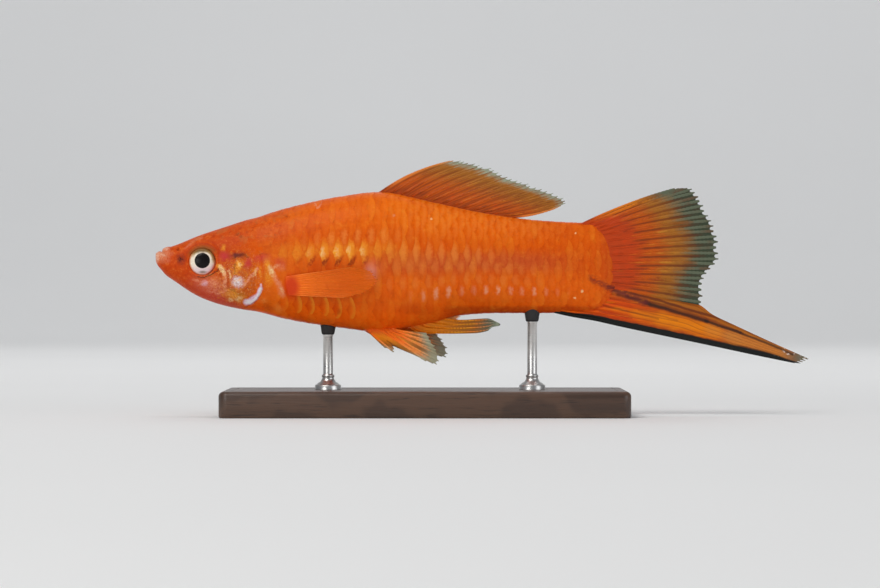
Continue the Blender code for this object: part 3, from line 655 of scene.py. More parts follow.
HEAD_MARKS = (
    # colour, share, softness, size, place: an ellipse at one place or a line through several
    ("crimson", 0.50, 0.9, (2.3, 1.2, -28.0), (6.6, -4.7)),
    ("rose", 0.60, 0.9, (3.3, 1.6, -22.0), (9.3, -5.2)),
    ("rose", 0.50, 0.9, (2.6, 0.9, -20.0), (10.6, -6.9)),
    ("peach", 0.25, 0.9, (2.4, 0.8, -12.0), (9.4, -3.6)),
    ("pink", 0.40, 0.9, (2.5, 1.0, -14.0), (8.9, -4.5)),
    ("bronze", 0.50, 0.7, (2.7, 3.3, 0.0), (13.1, -3.6)),
    ("crimson", 0.45, 0.9, (1.3, 1.1, 0.0), (10.5, 0.5)),
    ("rose", 0.60, 0.9, (0.9, 0.35, 10.0), (16.0, -0.3)),
    ("gold", 0.95, 0.8, (0.50, 0.75, -10.0), (13.0, -1.25)),
    ("gold", 0.70, 0.9, (0.30, 0.50, -20.0), (12.4, -2.3)),
    # a painted highlight of cream on the gold patch
    ("cream", 0.80, 0.9, (0.20, 0.34, 0.0), (13.05, -1.2)),
    ("umber", 0.55, 0.9, 0.12, (12.4, -1.2), (12.3, -2.6)),
    ("gold", 0.80, 0.9, (0.22, 0.55, 0.0), (15.5, -2.2)),
    ("gold", 0.70, 0.9, (0.20, 0.60, 0.0), (16.2, -2.4)),
    ("gold", 0.75, 0.9, (1.4, 0.75, -12.0), (12.2, -5.9)),
    ("cream", 0.75, 0.9, (0.5, 0.25, 20.0), (12.9, -6.4)),
    ("cream", 0.65, 0.9, (0.3, 0.20, 0.0), (11.6, -6.7)),
    ("olive", 0.45, 0.9, (0.6, 0.22, -20.0), (12.1, -5.2)),
    ("olive", 0.40, 0.9, (0.5, 0.20, 10.0), (13.0, -5.8)),
    ("pink", 0.55, 0.9, (0.60, 0.17, -8.0), (6.4, -3.75)),
    ("lilac", 0.55, 0.9, (0.44, 0.42, 0.0), (7.65, -4.05)),
    ("pink", 0.45, 0.9, (0.34, 0.13, 40.0), (7.0, -4.25)),
    ("pink", 0.40, 0.9, (0.6, 0.4, 0.0), (9.0, -4.2)),
    ("gold", 0.80, 0.9, 0.26, (9.9, -1.5), (10.3, -2.0)),
    ("cream", 1.00, 0.8, 0.27, (10.15, -1.65), (10.65, -2.2), (10.75, -2.7)),
    ("pink", 0.80, 0.8, 0.22, (10.75, -2.7), (10.8, -3.6), (10.75, -4.6)),
    ("cream", 0.70, 0.9, 0.13, (11.4, -2.25), (11.65, -3.3)),
    ("crimson", 0.60, 0.7, 0.14, (11.15, -1.8), (11.3, -4.9)),
    ("pink", 0.85, 0.8, 0.16, (15.8, -1.8), (14.85, -3.0), (13.8, -4.3)),
    ("cream", 0.65, 0.9, 0.12, (15.7, -2.3), (15.2, -3.1)),
    ("pink", 0.55, 0.8, 0.13, (8.4, -5.4), (10.0, -5.7), (11.0, -5.2)),
    # a painted shadow line under the eye's lower rim
    ("dark", 0.75, 0.7, 0.11, (6.6, -3.10), (7.9, -3.08), (9.1, -2.62), (9.9, -1.85)),
    ("pearl", 1.00, 0.6, (0.78, 0.76, 0.0), (12.75, -3.95)),
    ("gold", 0.60, 0.7, (0.20, 0.16, 0.0), (13.1, -3.7)),
    ("bronze", 0.50, 0.7, (0.14, 0.20, 0.0), (12.6, -4.15)),
    ("umber", 0.30, 0.9, 0.12, (16.0, 0.35), (17.2, 0.30)),
    ("gold", 0.75, 0.9, (0.42, 0.80, 8.0), (17.3, -1.1)),
    ("gold", 0.60, 0.9, (0.6, 1.0, 0.0), (17.5, -3.2)),
    ("cream", 0.90, 0.9, (0.34, 0.75, 20.0), (18.0, -2.3)),
    ("cream", 0.35, 0.9, (0.45, 0.16, 35.0), (18.7, -1.5)),
    ("pink", 0.30, 0.9, (0.6, 0.5, 0.0), (19.4, -1.6)),
    ("peach", 0.55, 0.9, (0.5, 0.4, 0.0), (16.7, -6.7)),
    ("peach", 0.50, 0.9, (0.8, 0.45, -10.0), (18.9, -8.0)),
    ("crimson", 0.45, 0.9, (0.9, 0.4, -14.0), (17.2, -7.8)),
    ("pink", 0.60, 0.9, 0.36, (18.5, -3.4), (19.2, -4.6), (19.6, -5.8)),
    ("cream", 0.50, 0.9, (0.18, 0.5, 20.0), (19.5, -5.2)),
    ("crimson", 0.40, 0.8, 0.15, (7.7, 2.5), (9.2, 2.1), (10.0, 0.8)),
    ("crimson", 0.80, 0.8, (0.30, 0.20, 0.0), (9.0, 3.1)),
    ("pink", 0.30, 0.8, 0.16, (4.7, 1.3), (5.6, 2.2), (7.2, 2.9)),
    ("gold", 0.60, 0.9, (0.30, 0.40, 0.0), (10.6, 1.3)),
    ("umber", 0.45, 0.8, (0.26, 0.20, 0.0), (12.6, 3.35)),
    ("umber", 0.40, 0.8, (0.20, 0.16, 0.0), (13.3, 3.05)),
    ("plum", 0.95, 0.9, (0.58, 0.64, 0.0), (3.98, -0.45)),
    ("dark", 0.35, 0.9, (0.18, 0.24, 0.0), (4.0, -0.40)),
    ("umber", 0.60, 0.9, (0.22, 0.18, 0.0), (3.5, 1.05)),
    ("umber", 0.35, 0.8, (0.24, 0.20, 0.0), (20.0, 6.1)),
    ("pink", 0.50, 0.6, 0.12, (24.3, 8.2), (24.9, 7.5), (25.5, 8.3)),
    ("lip", 0.80, 0.9, (1.05, 0.95, 0.0), (0.95, 0.20)),
    ("pale_lip", 0.75, 0.9, (0.36, 0.75, 0.0), (0.25, 0.0)),
    ("pale_lip", 0.70, 0.9, (0.45, 0.26, 0.0), (1.55, 1.20)),
    ("pale_lip", 0.60, 0.9, (0.26, 0.20, 0.0), (1.1, 0.25)),
)

# the columns of this and the later tables of marks are those of HEAD_MARKS
HEAD_SHADES = (
    ("rose", 0.95, 0.8, (0.74, 0.60, 0.0), (10.75, 0.0)),
    ("rose", 0.85, 0.8, (0.50, 0.72, -15.0), (14.35, -1.05)),
    ("rose", 0.45, 0.9, (0.9, 0.6, 0.0), (16.8, -0.2)),
    ("rose", 0.40, 0.9, (0.7, 0.6, 0.0), (19.2, -0.9)),
    ("plum", 0.30, 0.9, (1.3, 0.50, 4.0), (12.9, 0.10)),
    ("plum", 0.80, 0.9, (0.85, 0.27, 6.0), (12.75, 0.14)),
    ("plum", 0.70, 0.9, (0.26, 0.26, 0.0), (12.35, 0.20)),
    ("umber", 0.45, 0.9, 0.14, (12.1, -0.40), (12.7, 0.10), (13.6, 0.25), (14.3, -0.15)),
)

GILL_RIM = (
    ("lilac", 0.80, 0.6, 0.12, (16.30, -4.3), (16.30, -5.0)),
    ("lilac", 1.00, 0.5, 0.29, (16.25, -4.9), (15.85, -5.8), (15.15, -6.55)),
    ("lilac", 1.00, 0.5, 0.43, (15.3, -6.35), (14.6, -6.85), (14.0, -7.00)),
    ("pearl", 0.95, 0.7, 0.18, (16.30, -4.9), (16.0, -5.8), (15.3, -6.60), (14.5, -7.15)),
    ("pearl", 0.90, 0.7, (0.50, 0.24, 10.0), (14.3, -6.95)),
    ("crimson", 0.40, 0.8, 0.10, (15.2, -5.9), (14.6, -6.3)),
)


def head_markings(f, x, h, flat, behind=0.0):
    """The head, the gill cover and the shoulder, without the marks that end before behind."""
    broad = f.noise(0.8, 3.0, shift=5.0) - 0.5
    ahead = f.ramp(x + broad * 2.0, 16.5, 11.0)
    f.paint(ahead * 0.90, "head")
    nape = f.ramp(x + broad * 3.0, 26.0, 15.0) * f.ramp(h, 0.5, 3.5)
    f.paint(nape * 0.50, "head")
    crown = f.ramp(h - x * 0.24, -0.6, 1.2) * ahead
    f.paint(crown * 0.45, "crown")
    lumps = f.noise(1.5, 4.0, 0.7, shift=17.0)
    f.paint(f.ramp(lumps, 0.50, 0.68) * ahead.most(nape) * 0.28, "peach")
    f.paint(f.ramp(lumps, 0.48, 0.34) * ahead.most(nape) * 0.50, "crimson")
    earthy = f.noise(0.75, 3.0, 0.6, shift=52.0)
    f.paint(f.ramp(earthy, 0.52, 0.64) * nape * 0.35, "bronze")
    speck = f.noise(4.2, 3.0, 0.65, shift=21.0)
    flecks = f.ramp(speck, 0.34, 0.56, 0.35, 1.0)
    rough = f.wavy(f.wavy(flat, 1.0, 0.28, 5.0), 3.2, 0.16, 11.0)
    marks = [mark for mark in HEAD_MARKS if max(point[0] for point in mark[4:]) > behind]
    f.mark(rough, marks, flecks)
    gill = f.spot(flat, (12.8, -3.4), (4.2, 4.2), soft=0.5)
    clump = f.noise(2.3, 4.0, 0.65, shift=41.0)
    f.paint(f.ramp(clump, 0.52, 0.68) * gill * 0.38, "gold")
    f.paint(f.ramp(clump, 0.47, 0.34) * gill * 0.50, "crimson")
    f.paint(f.ramp(speck, 0.54, 0.72) * gill * 0.42, "pink")
    f.paint(f.ramp(speck, 0.60, 0.72) * gill * 0.30, "cream")
    f.mark(f.wavy(flat, 1.6, 0.22, 7.5), HEAD_SHADES)
    mottled = f.ramp(speck, 0.36, 0.50, 0.62, 1.0)
    f.mark(f.wavy(flat, 1.6, 0.10, 7.0), GILL_RIM, mottled)
    blob = f.spot(flat, *PECTORAL_BLOB, soft=0.5)
    f.paint(blob * 0.95, "scarlet")
    r = f.vector("DISTANCE", flat, (*EYE, 0.0), output="Value")
    above = f.ramp(h - x * 0.35, -3.6, -2.2)
    f.paint(f.band(r + broad * 0.2, 2.70, 2.88, 0.16) * above * 0.65, "crimson")
    # painted shade of the socket's upper rim, olive over the skin above the eye
    socket_shade = f.ramp(r + broad * 0.4, 2.95, 2.0) * f.ramp(h - EYE[1] - x * 0.1, -0.1, 1.1)
    f.paint(socket_shade * 0.75, "olive")


def ring_place(ring):
    """x at which a ring of scales is rooted, and the distance from scale to scale in a row."""
    return (
        SCALES_FROM + SCALE_RING * ring - SCALE_CLOSING * ring**2,
        2 * (SCALE_RING - 2 * SCALE_CLOSING * ring),
    )


def skin_material():
    finish = {"Specular_IOR_Level": 0.06, "Coat_Weight": 0.015, "Coat_Roughness": 0.25}
    f = Finish("wet_skin", 0.40, **finish)
    x, h, flat = f.fish_place()
    body_markings(f, x, h)
    head_markings(f, x, h, flat)
    pores = f.noise(7.0, 3.0)
    wrinkles = f.noise(1.8, 3.0, shift=2.0)
    rough = f.ramp(wrinkles, 0.3, 0.7, 0.34, 0.48)
    return f.done(roughness=rough, bump=pores * 0.5 + wrinkles, depth=0.05)


def gill_edge(h):
    """x of the gill cover's rear edge at a height."""
    return spline([-point[1] for point in GILL_EDGE], [point[0] for point in GILL_EDGE])(-h)


def scales_start(h):
    """x of the foremost scales: behind the gill cover, and further ahead on the nape."""
    return np.maximum(gill_edge(h) + 0.5, 16.9 - 0.35 * np.maximum(h, 0))


class SWORDTAIL_OT_skin(bpy.types.Operator):
    """Make the one skin that covers head, trunk and tail stem"""

    bl_idname = "swordtail.skin"
    bl_label = "Skin"

    def execute(self, context):
        nodes = ("head", "trunk", "tail_stem", "gill_cover_left", "gill_cover_right")
        adopt(make_skin(), "flesh", *nodes)
        return {"FINISHED"}


# ------------------------------------------------------------------ scales


def row_turns():
    """Turn round the body of each place on it, counted in rows of scales from the back."""
    turn = np.linspace(0, math.pi, 400)
    girth = body_point(np.full_like(turn, GIRTH_X), turn)
    share = np.concatenate([[0], np.cumsum(np.linalg.norm(np.diff(girth, axis=0), axis=1))])
    half = SCALE_ROWS / 2
    # brings one row to the lateral line and one to the pale crescents of painted highlight low on
    # the flank
    evened = spline(np.array((0.0, 5.24, 8.68, half)) / half, (0.0, 5.0, 8.0, half))
    share = evened(share / share[-1])
    turns = np.concatenate([turn, turn[1:] + math.pi])
    rows = np.concatenate([share, 2 * half - share[-2::-1]])
    whole = 2 * half
    return lambda row: np.interp(row % whole, rows, turns) + 2 * math.pi * np.floor(row / whole)


def make_scales(name, first_row, last_row, seed):
    """One piece of solid overlapping scales, over a range of rows round the body."""
    sizes = bpy.context.scene.swordtail_sizes
    rng = np.random.default_rng(seed)
    rows, columns = sizes.scale_steps + 2, sizes.scale_steps + 1
    turn_at = row_turns()
    q = np.linspace(-1, 1, columns)[None, :]
    share = 1 - (1 - np.linspace(0, 1, rows)[:, None]) ** 1.4
    thick, depth = 0.035, 0.17  # depth is how far a scale's root lies under the outline
    overlap, spread = 0.62, 1.07  # ahead of the root in steps, and to either side in rows
    points, faces, lie, bake, tone, line = [], [], [], [], [], []
    for ring in range(SCALE_RINGS):
        root, step = ring_place(ring)
        for row in range(first_row, last_row):
            jitter = rng.normal(0, 1, 4)
            shade = rng.random()
            middle_h = float(body_point(root, turn_at(float(row)))[2])
            if row % 2 == ring % 2 or root < scales_start(middle_h):
                continue
            free = step * (1.0 - 0.30 * np.abs(q) ** 2.4 + 0.03 * jitter[0])
            x = root - step * overlap * (1 - share) + share * free
            width = spread * np.sqrt(np.clip(1 - np.clip(0.55 - share, 0, 1) ** 2 * 2.0, 0.1, 1))
            x = np.clip(x, 0.1, BODY_LENGTH - 0.03)
            turn = turn_at(row + q * width + 0.02 * jitter[1])
            base = body_point(x, turn)
            out = body_normal(x, turn)
            rise = sizes.scale_lift * smooth(70.5, 66.0, root)
            lift = -depth + share * (0.07 + rise) + 0.02 * (1 - q * q) * share
            lift = np.minimum(lift + 0.006 * q + 0.004 * jitter[2], -0.005)
            first = len(points) * rows * columns
            for sunk in (thick, 0.0):
                points.append((base + out * (lift - sunk)[..., None]).reshape(-1, 3))
            faces += plate_faces(rows, columns, first)
            uv = np.stack(np.broadcast_arrays(q * 0.5 + 0.5, share), axis=-1).reshape(-1, 2)
            centre = np.array([root / BODY_LENGTH, (row / SCALE_ROWS) % 1.0])
            lie += [uv, uv]
            bake += [centre + (uv - 0.5) * 0.003] * 2
            tone.append(np.full(2 * rows * columns, shade))
            line.append(np.full(2 * rows * columns, min(row, SCALE_ROWS - row)))
    maps = {"OFBake": np.concatenate(bake), "lie": np.concatenate(lie)}
    shades = {"tone": np.concatenate(tone), "row": np.concatenate(line)}
    return mesh_piece(name, np.concatenate(points), faces, scale_material(), maps, shades)


BODY_MARKS = (
    ("pink", 0.28, 0.9, (1.0, 1.4, 0.0), (33.2, -2.2)),
    ("lilac", 0.18, 0.9, (0.7, 1.0, 0.0), (33.0, -2.6)),
    ("pink", 0.45, 0.9, (0.20, 0.16, 0.0), (36.5, 6.2)),
    ("cream", 0.55, 0.9, (0.14, 0.16, 0.0), (42.3, 5.7)),
    ("cream", 0.80, 0.9, (0.13, 0.13, 0.0), (64.3, 3.5)),
    ("cream", 0.70, 0.9, (0.15, 0.15, 0.0), (65.3, -5.3)),
    ("cream", 0.80, 0.9, (0.17, 0.13, 0.0), (64.2, -6.4)),
    ("crimson", 0.40, 0.9, (0.30, 0.40, 0.0), (28.2, -8.4)),
    ("crimson", 0.35, 0.9, (2.4, 0.8, -4.0), (40.0, -8.2)),
)


def scale_material():
    made = bpy.data.materials.get("scales")
    if made:
        return made
    finish = {"Specular_IOR_Level": 0.07, "Coat_Weight": 0.015, "Coat_Roughness": 0.22}
    f = Finish("scales", 0.38, **finish)
    x, h, flat = f.fish_place()
    body_markings(f, x, h)
    across, down = f.uv("lie")
    tone, row = f.attribute("tone"), f.attribute("row")
    ragged = f.noise(2.4, 3.0, shift=14.0) - 0.5
    torn = f.noise(1.1, 3.0, shift=44.0) - 0.5
    middle = abs(across - 0.5 + torn * 0.16)
    down = down + torn * 0.12
    f.paint(f.ramp(tone, 0.4, 1.0) * 0.10, "gold")
    f.paint(f.ramp(tone, 0.5, 0.0) * 0.12, "crimson")
    # the covered half of a scale is painted darker, partly deeper pigment and partly shade under
    # the scale over it; its free edge gets a painted highlight, strongest high on the rear flank
    inner = f.ramp(down + ragged * 0.2, 0.85, 0.50)
    f.paint(inner * 0.15, "crimson")
    edge = f.band(down + ragged * 0.25, 0.76, 0.94, 0.10)
    pale = f.ramp(h, 1.5, 5.0) * f.band(x, 37.0, 60.0, 6.0) * 0.22 + 0.05
    f.paint(edge * pale, "peach")
    # painted highlights: pale crescents along the rows low on the flank
    narrow = f.ramp(middle + ragged * 0.2, 0.30, 0.08)
    low = f.band(row, 7.6, 8.4, 0.4) * f.band(x, 40.5, 61.5, 2.5) * 0.85
    crescent = f.band(down + ragged * 0.30, 0.73, 0.88, 0.09) * narrow
    f.paint(low * crescent * f.ramp(tone, 0.0, 0.7, 0.35, 1.0), "pink")
    high = f.band(row, 5.6, 7.4, 0.4) * f.band(x, 33.0, 60.0, 6.0) * 0.26
    patch = f.band(down + ragged * 0.30, 0.58, 0.88, 0.12) * narrow
    f.paint(high * patch, "peach")
    # gold shine along the lateral row, with painted highlights on the row above it and dark
    # slashes under it
    haze = f.band(h + torn * 1.5, -0.1, 1.9, 0.9) * f.band(x, 18.0, 36.0, 5.0)
    f.paint(haze * f.ramp(ragged, -0.15, 0.15, 0.10, 0.30), "gold")
    # painted highlights on the scales of the row above the gold
    above = f.band(row, 3.6, 4.4, 0.3) * f.band(x, 24.0, 37.0, 4.0) * narrow
    f.paint(above * f.band(down + ragged * 0.4, 0.66, 0.88, 0.12) * 0.45, "peach")
    line = f.band(row, 4.6, 5.4, 0.3) * f.ramp(middle + ragged * 0.35, 0.52, 0.08)
    shine = f.band(down + ragged * 0.50, 0.46, 0.92, 0.18) * f.band(x, 18.0, 38.0, 4.0)
    shine = shine * f.band(x, 24.5, 33.5, 4.0).most(0.45)
    f.paint(line * shine * f.ramp(torn, -0.15, 0.15, 0.40, 0.85), "gold")
    glint = f.band(x, 24.0, 32.5, 1.5) * f.band(down + ragged * 0.6, 0.66, 0.78, 0.08)
    glint = glint * f.ramp(middle + ragged * 0.3, 0.22, 0.06)
    glint = glint * f.ramp(ragged, -0.12, 0.10, 0.30, 1.0)
    f.paint(line * glint * f.ramp(tone, 0.0, 1.0, 0.40, 0.62), "cream")
    after = f.band(x, 36.0, 52.0, 4.0) * f.band(down + ragged * 0.25, 0.60, 0.88, 0.10)
    f.paint(line * after * 0.45, "peach")
    middle_ring = SCALE_RING / (2 * SCALE_CLOSING)
    ring = middle_ring - (middle_ring**2 - (x - SCALES_FROM) / SCALE_CLOSING) ** 0.5
    slant = (h + 0.75) * 0.52
    lean = f.maths("COSINE", (ring - slant + ragged * 0.5 - 1.50) * math.pi)
    slash = f.ramp(lean, 0.05, 0.90) * f.band(h + torn * 1.2 + ragged * 0.6, -1.35, -0.05, 0.45)
    slash = slash * f.ramp(ragged, -0.20, 0.10, 0.45, 1.0) * f.band(x, 22.0, 34.0, 3.0)
    f.paint(slash * 0.75, "crimson")
    dark_slash = slash * f.band(h + torn, -1.45, -0.45, 0.35) * f.band(x, 24.0, 32.0, 2.5)
    f.paint(dark_slash * 0.50, "umber")
    glow = f.band(row, 8.6, 9.4, 0.4) * f.band(x, 20.5, 31.0, 1.5)
    f.paint(glow * f.ramp(down, 0.78, 0.95) * 0.40, "gold")
    f.paint(glow * f.ramp(down, 0.85, 0.60) * 0.45, "scarlet")
    f.mark(f.wavy(flat, 1.0, 0.20, 5.0), BODY_MARKS)
    tail_smear(f, f.wavy(flat, 1.2, 0.25, 9.0))
    head_markings(f, x, h, flat, SCALES_FROM - 1.0)
    lines = f.maths("SINE", (down * 0.9 + middle * middle * 0.7) * 60.0)
    return f.done(bump=lines * 0.08 + ragged * 0.6, depth=0.02)


def tail_smear(f, flat):
    """The brown smear that runs from the tail's root into the dark lines of the sword."""
    hatch = f.noise(1.3, 3.0, stretch=(0.8, 1.0, 1.6), shift=33.0)
    faint = f.stroke(flat, ((66.8, -3.4), (70.0, -5.0)), 0.50, 0.9, 0.60)
    mask = faint.most(f.stroke(flat, ((69.4, -4.7), (71.8, -5.7), (75.0, -7.0)), 0.52, 0.9, 0.88))
    f.paint(mask * f.ramp(hatch, 0.32, 0.54), "plum")


class SWORDTAIL_OT_scales(bpy.types.Operator):
    """Lay the overlapping scales on the skin"""

    bl_idname = "swordtail.scales"
    bl_label = "Scales"

    def execute(self, context):
        half = SCALE_ROWS // 2
        adopt(make_scales("scales_right", 0, half, 11), "flesh")
        adopt(make_scales("scales_left", half, 2 * half, 12), "flesh")
        return {"FINISHED"}


# ------------------------------------------------------------------ fins


def fan(root, margin, bow=(0.0, 0.0)):
    """Side view of a fin from its root line, v = 0, to its free margin, v = 1."""
    root_at, margin_at = along(root), along(margin)

    def place(u, v):
        start, end = root_at(u), margin_at(u)
        run = end - start
        across = unit(np.stack([-run[..., 1], run[..., 0]], axis=-1))
        bend = (bow[0] + (bow[1] - bow[0]) * u) * 4 * np.maximum(v, 0) * (1 - v)
        return start + run * v[..., None] + across * bend[..., None]

    return place


def strip(upper, lower):
    """Side view of a fin between two long edges, v running along them."""
    upper_at, lower_at = along(upper), along(lower)
    return lambda u, v: upper_at(v) * (1 - u[..., None]) + lower_at(v) * u[..., None]


def turned_about(place, centre, degrees):
    """The same side view turned about a point; positive lifts the rear."""
    c, s = math.cos(math.radians(degrees)), math.sin(math.radians(degrees))
    turn = np.array(((c, s), (-s, c)))
    return lambda u, v: (place(u, v) - centre) @ turn + centre


def sway(reach, waves, phase, start=0.1):
    """Soft waves to either side of a fin, which grow from its root."""
    return lambda x, h, u, v: reach * np.sin(u * waves + phase) * smooth(start, 1.0, v)


def upright(place, y_at=None):
    """A fin's middle surface in space; y_at takes x, h, u and v."""

    def at(u, v):
        u, v = np.broadcast_arrays(np.asarray(u, float), np.asarray(v, float))
        side = place(u, v)
        x, h = side[..., 0], side[..., 1]
        y = y_at(x, h, u, v) if y_at else np.zeros_like(x)
        return np.stack([x, y, h], axis=-1)

    return at


def outward(at, u, v):
    """Unit normal of a fin's middle surface."""
    step = 0.002
    down = at(u, v + step) - at(u, v - step)
    over = at(np.clip(u + step, 0, 1), v) - at(np.clip(u - step, 0, 1), v)
    return unit(np.cross(over, down))


def web(name, at, columns, rows, half, material, reach=None, start=-0.06, shades=None):
    """The thin closed web of a fin; half gives its half thickness and reach its margin."""
    u = np.linspace(0, 1, columns)[None, :]
    end = reach(u) if reach else np.ones_like(u)
    v = start + (end - start) * np.linspace(0, 1, rows)[:, None]
    u = np.broadcast_to(u, v.shape)
    middle, out = at(u, v), outward(at, u, v)
    offset = out * half(u, v)[..., None]
    points = np.concatenate([(middle + offset).reshape(-1, 3), (middle - offset).reshape(-1, 3)])
    lie = np.stack([u, v], axis=-1).reshape(-1, 2)
    maps = {"fin": np.concatenate([lie, lie])}
    found = {key: np.tile(value(u, v).ravel(), 2) for key, value in (shades or {}).items()}
    return mesh_piece(name, points, plate_faces(rows, columns), material, maps, found)


def fin_rays(name, at, paths, half_width, half_thick, material, segment=0.6):
    """Flattened jointed tubes along paths of u and v over a fin's middle surface."""
    sides = 8
    u, v = paths[..., 0], paths[..., 1]
    middle, out = at(u, v), outward(at, u, v)
    run = np.gradient(middle, axis=1)
    length = np.cumsum(np.linalg.norm(run, axis=-1), axis=1)
    across = unit(np.cross(out, unit(run)))
    phase = length / segment
    joint = hump(phase - np.round(phase), 0.14) * smooth(0.15, 0.35, v)
    wide = half_width(u, v) * (1 - 0.18 * joint)
    thick = half_thick(u, v) * (1 - 0.35 * joint)
    a = np.arange(sides) * 2 * math.pi / sides
    ring = across[:, :, None] * (wide[..., None] * np.cos(a))[..., None]
    ring = ring + out[:, :, None] * (thick[..., None] * np.sin(a))[..., None]
    points = (middle[:, :, None] + ring).reshape(-1, 3)
    count, long = u.shape
    faces = []
    for k in range(count):
        faces += capped_faces(long, sides, k * long * sides)
    lie = np.repeat(np.stack([u, v], axis=-1).reshape(-1, 2), sides, axis=0)
    return mesh_piece(name, points, faces, material, {"fin": lie})


def branching(centres, steps, fork, seed, tips=0.02, start=-0.05, apart=0.07, spread=0.25):
    """Paths of u and v for rays that fork once, given each ray's place along the fin's root."""
    rng = np.random.default_rng(seed)
    centres = np.asarray(centres, float)
    usual = 1.6 * float(np.median(np.diff(centres)))
    paths = []
    for k, centre in enumerate(centres):
        branch_at = fork + rng.normal(0, 0.03)
        for side in (-1, 1):
            tip = 1.0 + rng.normal(0, tips)
            beside = centres[min(max(k + side, 0), len(centres) - 1)]
            pitch = min(abs(beside - centre), usual)
            v = np.linspace(start, tip, steps)
            out = apart + (spread - apart) * np.clip((v - branch_at) / (1 - branch_at), 0, 1)
            paths.append(np.stack([centre + side * pitch * out, v], axis=-1))
    return np.array(paths[1:-1])


def scallops(paths, depth):
    """A margin that falls back between the tips of the rays, more where they stand apart."""
    order = np.argsort(paths[:, -1, 0])
    tips = np.concatenate([[0.0], paths[order, -1, 0], [1.0]])
    ends = paths[order, -1, 1] - 0.012
    ends = np.concatenate([[ends[0]], ends, [ends[-1]]])
    usual = np.median(np.diff(tips))

    def reach(u):
        k = np.clip(np.searchsorted(tips, u, side="right") - 1, 0, len(tips) - 2)
        gap = np.maximum(tips[k + 1] - tips[k], 1e-6)
        share = np.clip((u - tips[k]) / gap, 0, 1)
        fall = np.sin(share * math.pi) ** 0.8
        straight = ends[k] + (ends[k + 1] - ends[k]) * share
        return straight - depth * np.minimum(gap / usual, 5.0) ** 1.3 * fall

    return reach


def streaks(f, u, v, shift):
    """Fine uneven lines that run along a fin, about 0.5."""
    place = f.node("CombineXYZ", X=u * 60.0 + shift, Y=v * 2.5, Z=shift)
    return f.node("TexNoise", Vector=place, Scale=1.0, Detail=3.0, Roughness=0.6, output="Fac")


def taper(*stops):
    """A value that runs smoothly through (v, value) stops."""
    curve = spline([stop[0] for stop in stops], [stop[1] for stop in stops])
    return lambda u, v: curve(v) + 0 * u


def fin_ground(f, u, v, stops, grain, streak, lead):
    """Colours blended along a fin from (v, colour name) stops, with scarlet clouds by the root
    and a brighter strip along the upper edge."""
    uneven = v + grain * 0.14 + (streak - 0.5) * 0.30
    f.colour = getattr(f.colours, stops[0][1])
    for (v0, _), (v1, name) in zip(stops, stops[1:]):
        f.paint(f.ramp(uneven, v0, v1), name)
    f.paint(f.ramp(grain, 0.05, 0.18) * f.ramp(v, 0.7, 0.4) * 0.25, "scarlet")
    if lead:
        f.paint(f.ramp(u, 0.13, 0.03) * f.band(v, 0.16, 0.62, 0.16) * lead, "amber")


def fin_edges(f, u, v, rim, blob):
    """A pale rim along both edges of a fin and a scarlet blob at its root, where asked for."""
    if rim:
        f.paint(f.ramp(abs(u - 0.5), 0.46, 0.485) * f.ramp(v, 0.0, 0.3, 0.0, rim), "peach")
    if blob:
        f.paint(f.spot(f.fish_place()[2], *blob, soft=0.5), "scarlet")


def ray_material(
    name, stops, clear, clear_from=0.6, clear_to=1.0, dusk=0.45, rim=0.0, blob=None, lead=0.0
):
    """Bony rays, streaked along with umber and gold, and a little clear near the tip."""
    f = Finish(name, 0.40, Specular_IOR_Level=0.18, Coat_Weight=0.06, Coat_Roughness=0.25)
    u, v = f.uv("fin")
    grain = f.noise(1.3, 3.0, shift=4.0) - 0.5
    streak = streaks(f, u, v, 0.0)
    fin_ground(f, u, v, stops, grain, streak, lead)
    f.paint(f.ramp(streak, 0.50, 0.36) * dusk, "umber")
    f.paint(f.ramp(streak, 0.55, 0.70) * f.ramp(v, 0.75, 0.5) * 0.25, "gold")
    fin_edges(f, u, v, rim, blob)
    alpha = f.ramp(v + grain * 0.1, clear_from, clear_to, 1.0, clear)
    return f.done(alpha=alpha, bump=f.noise(5.0, 2.0), depth=0.02)


def gap_lines(f, u, v, grain, streak, count, end, bunch=1.0, strong=0.8, start=0.0):
    """A dark line down each gap between the rays, from start to end along the fin."""
    even = u if bunch == 1.0 else u ** (1.0 / bunch)
    gap = f.maths("COSINE", even * (count * 2 * math.pi)) * -0.5 + 0.5
    line = f.ramp(gap + grain * 0.3, 0.76, 0.97) * f.ramp(v + grain * 0.2, end, end - 0.2)
    line = line * f.ramp(v + grain * 0.2, start + 0.02, start + 0.15)
    line = line * f.ramp(streak, 0.40, 0.52, 0.6, 1.0)
    f.paint(line * strong, "umber")


def web_material(
    name,
    stops,
    clear,
    clear_from=0.35,
    clear_to=0.95,
    lines=None,
    dusk=0.5,
    rim=0.0,
    blob=None,
    lead=0.0,
):
    """Thin web between the rays; lines are settings for gap_lines, if it has any."""
    f = Finish(name, 0.45, Specular_IOR_Level=0.18, Coat_Weight=0.04, Coat_Roughness=0.3)
    u, v = f.uv("fin")
    grain = f.noise(0.9, 4.0, shift=9.0) - 0.5
    streak = streaks(f, u, v, 3.0)
    fin_ground(f, u, v, stops, grain, streak, lead)
    f.paint(f.ramp(streak, 0.52, 0.36) * dusk, "umber")
    if lines:
        gap_lines(f, u, v, grain, streak, **lines)
    fin_edges(f, u, v, rim, blob)
    alpha = f.ramp(v + grain * 0.15, clear_from, clear_to, 1.0, clear)
    return f.done(alpha=alpha, bump=f.noise(3.0, 3.0), depth=0.03)


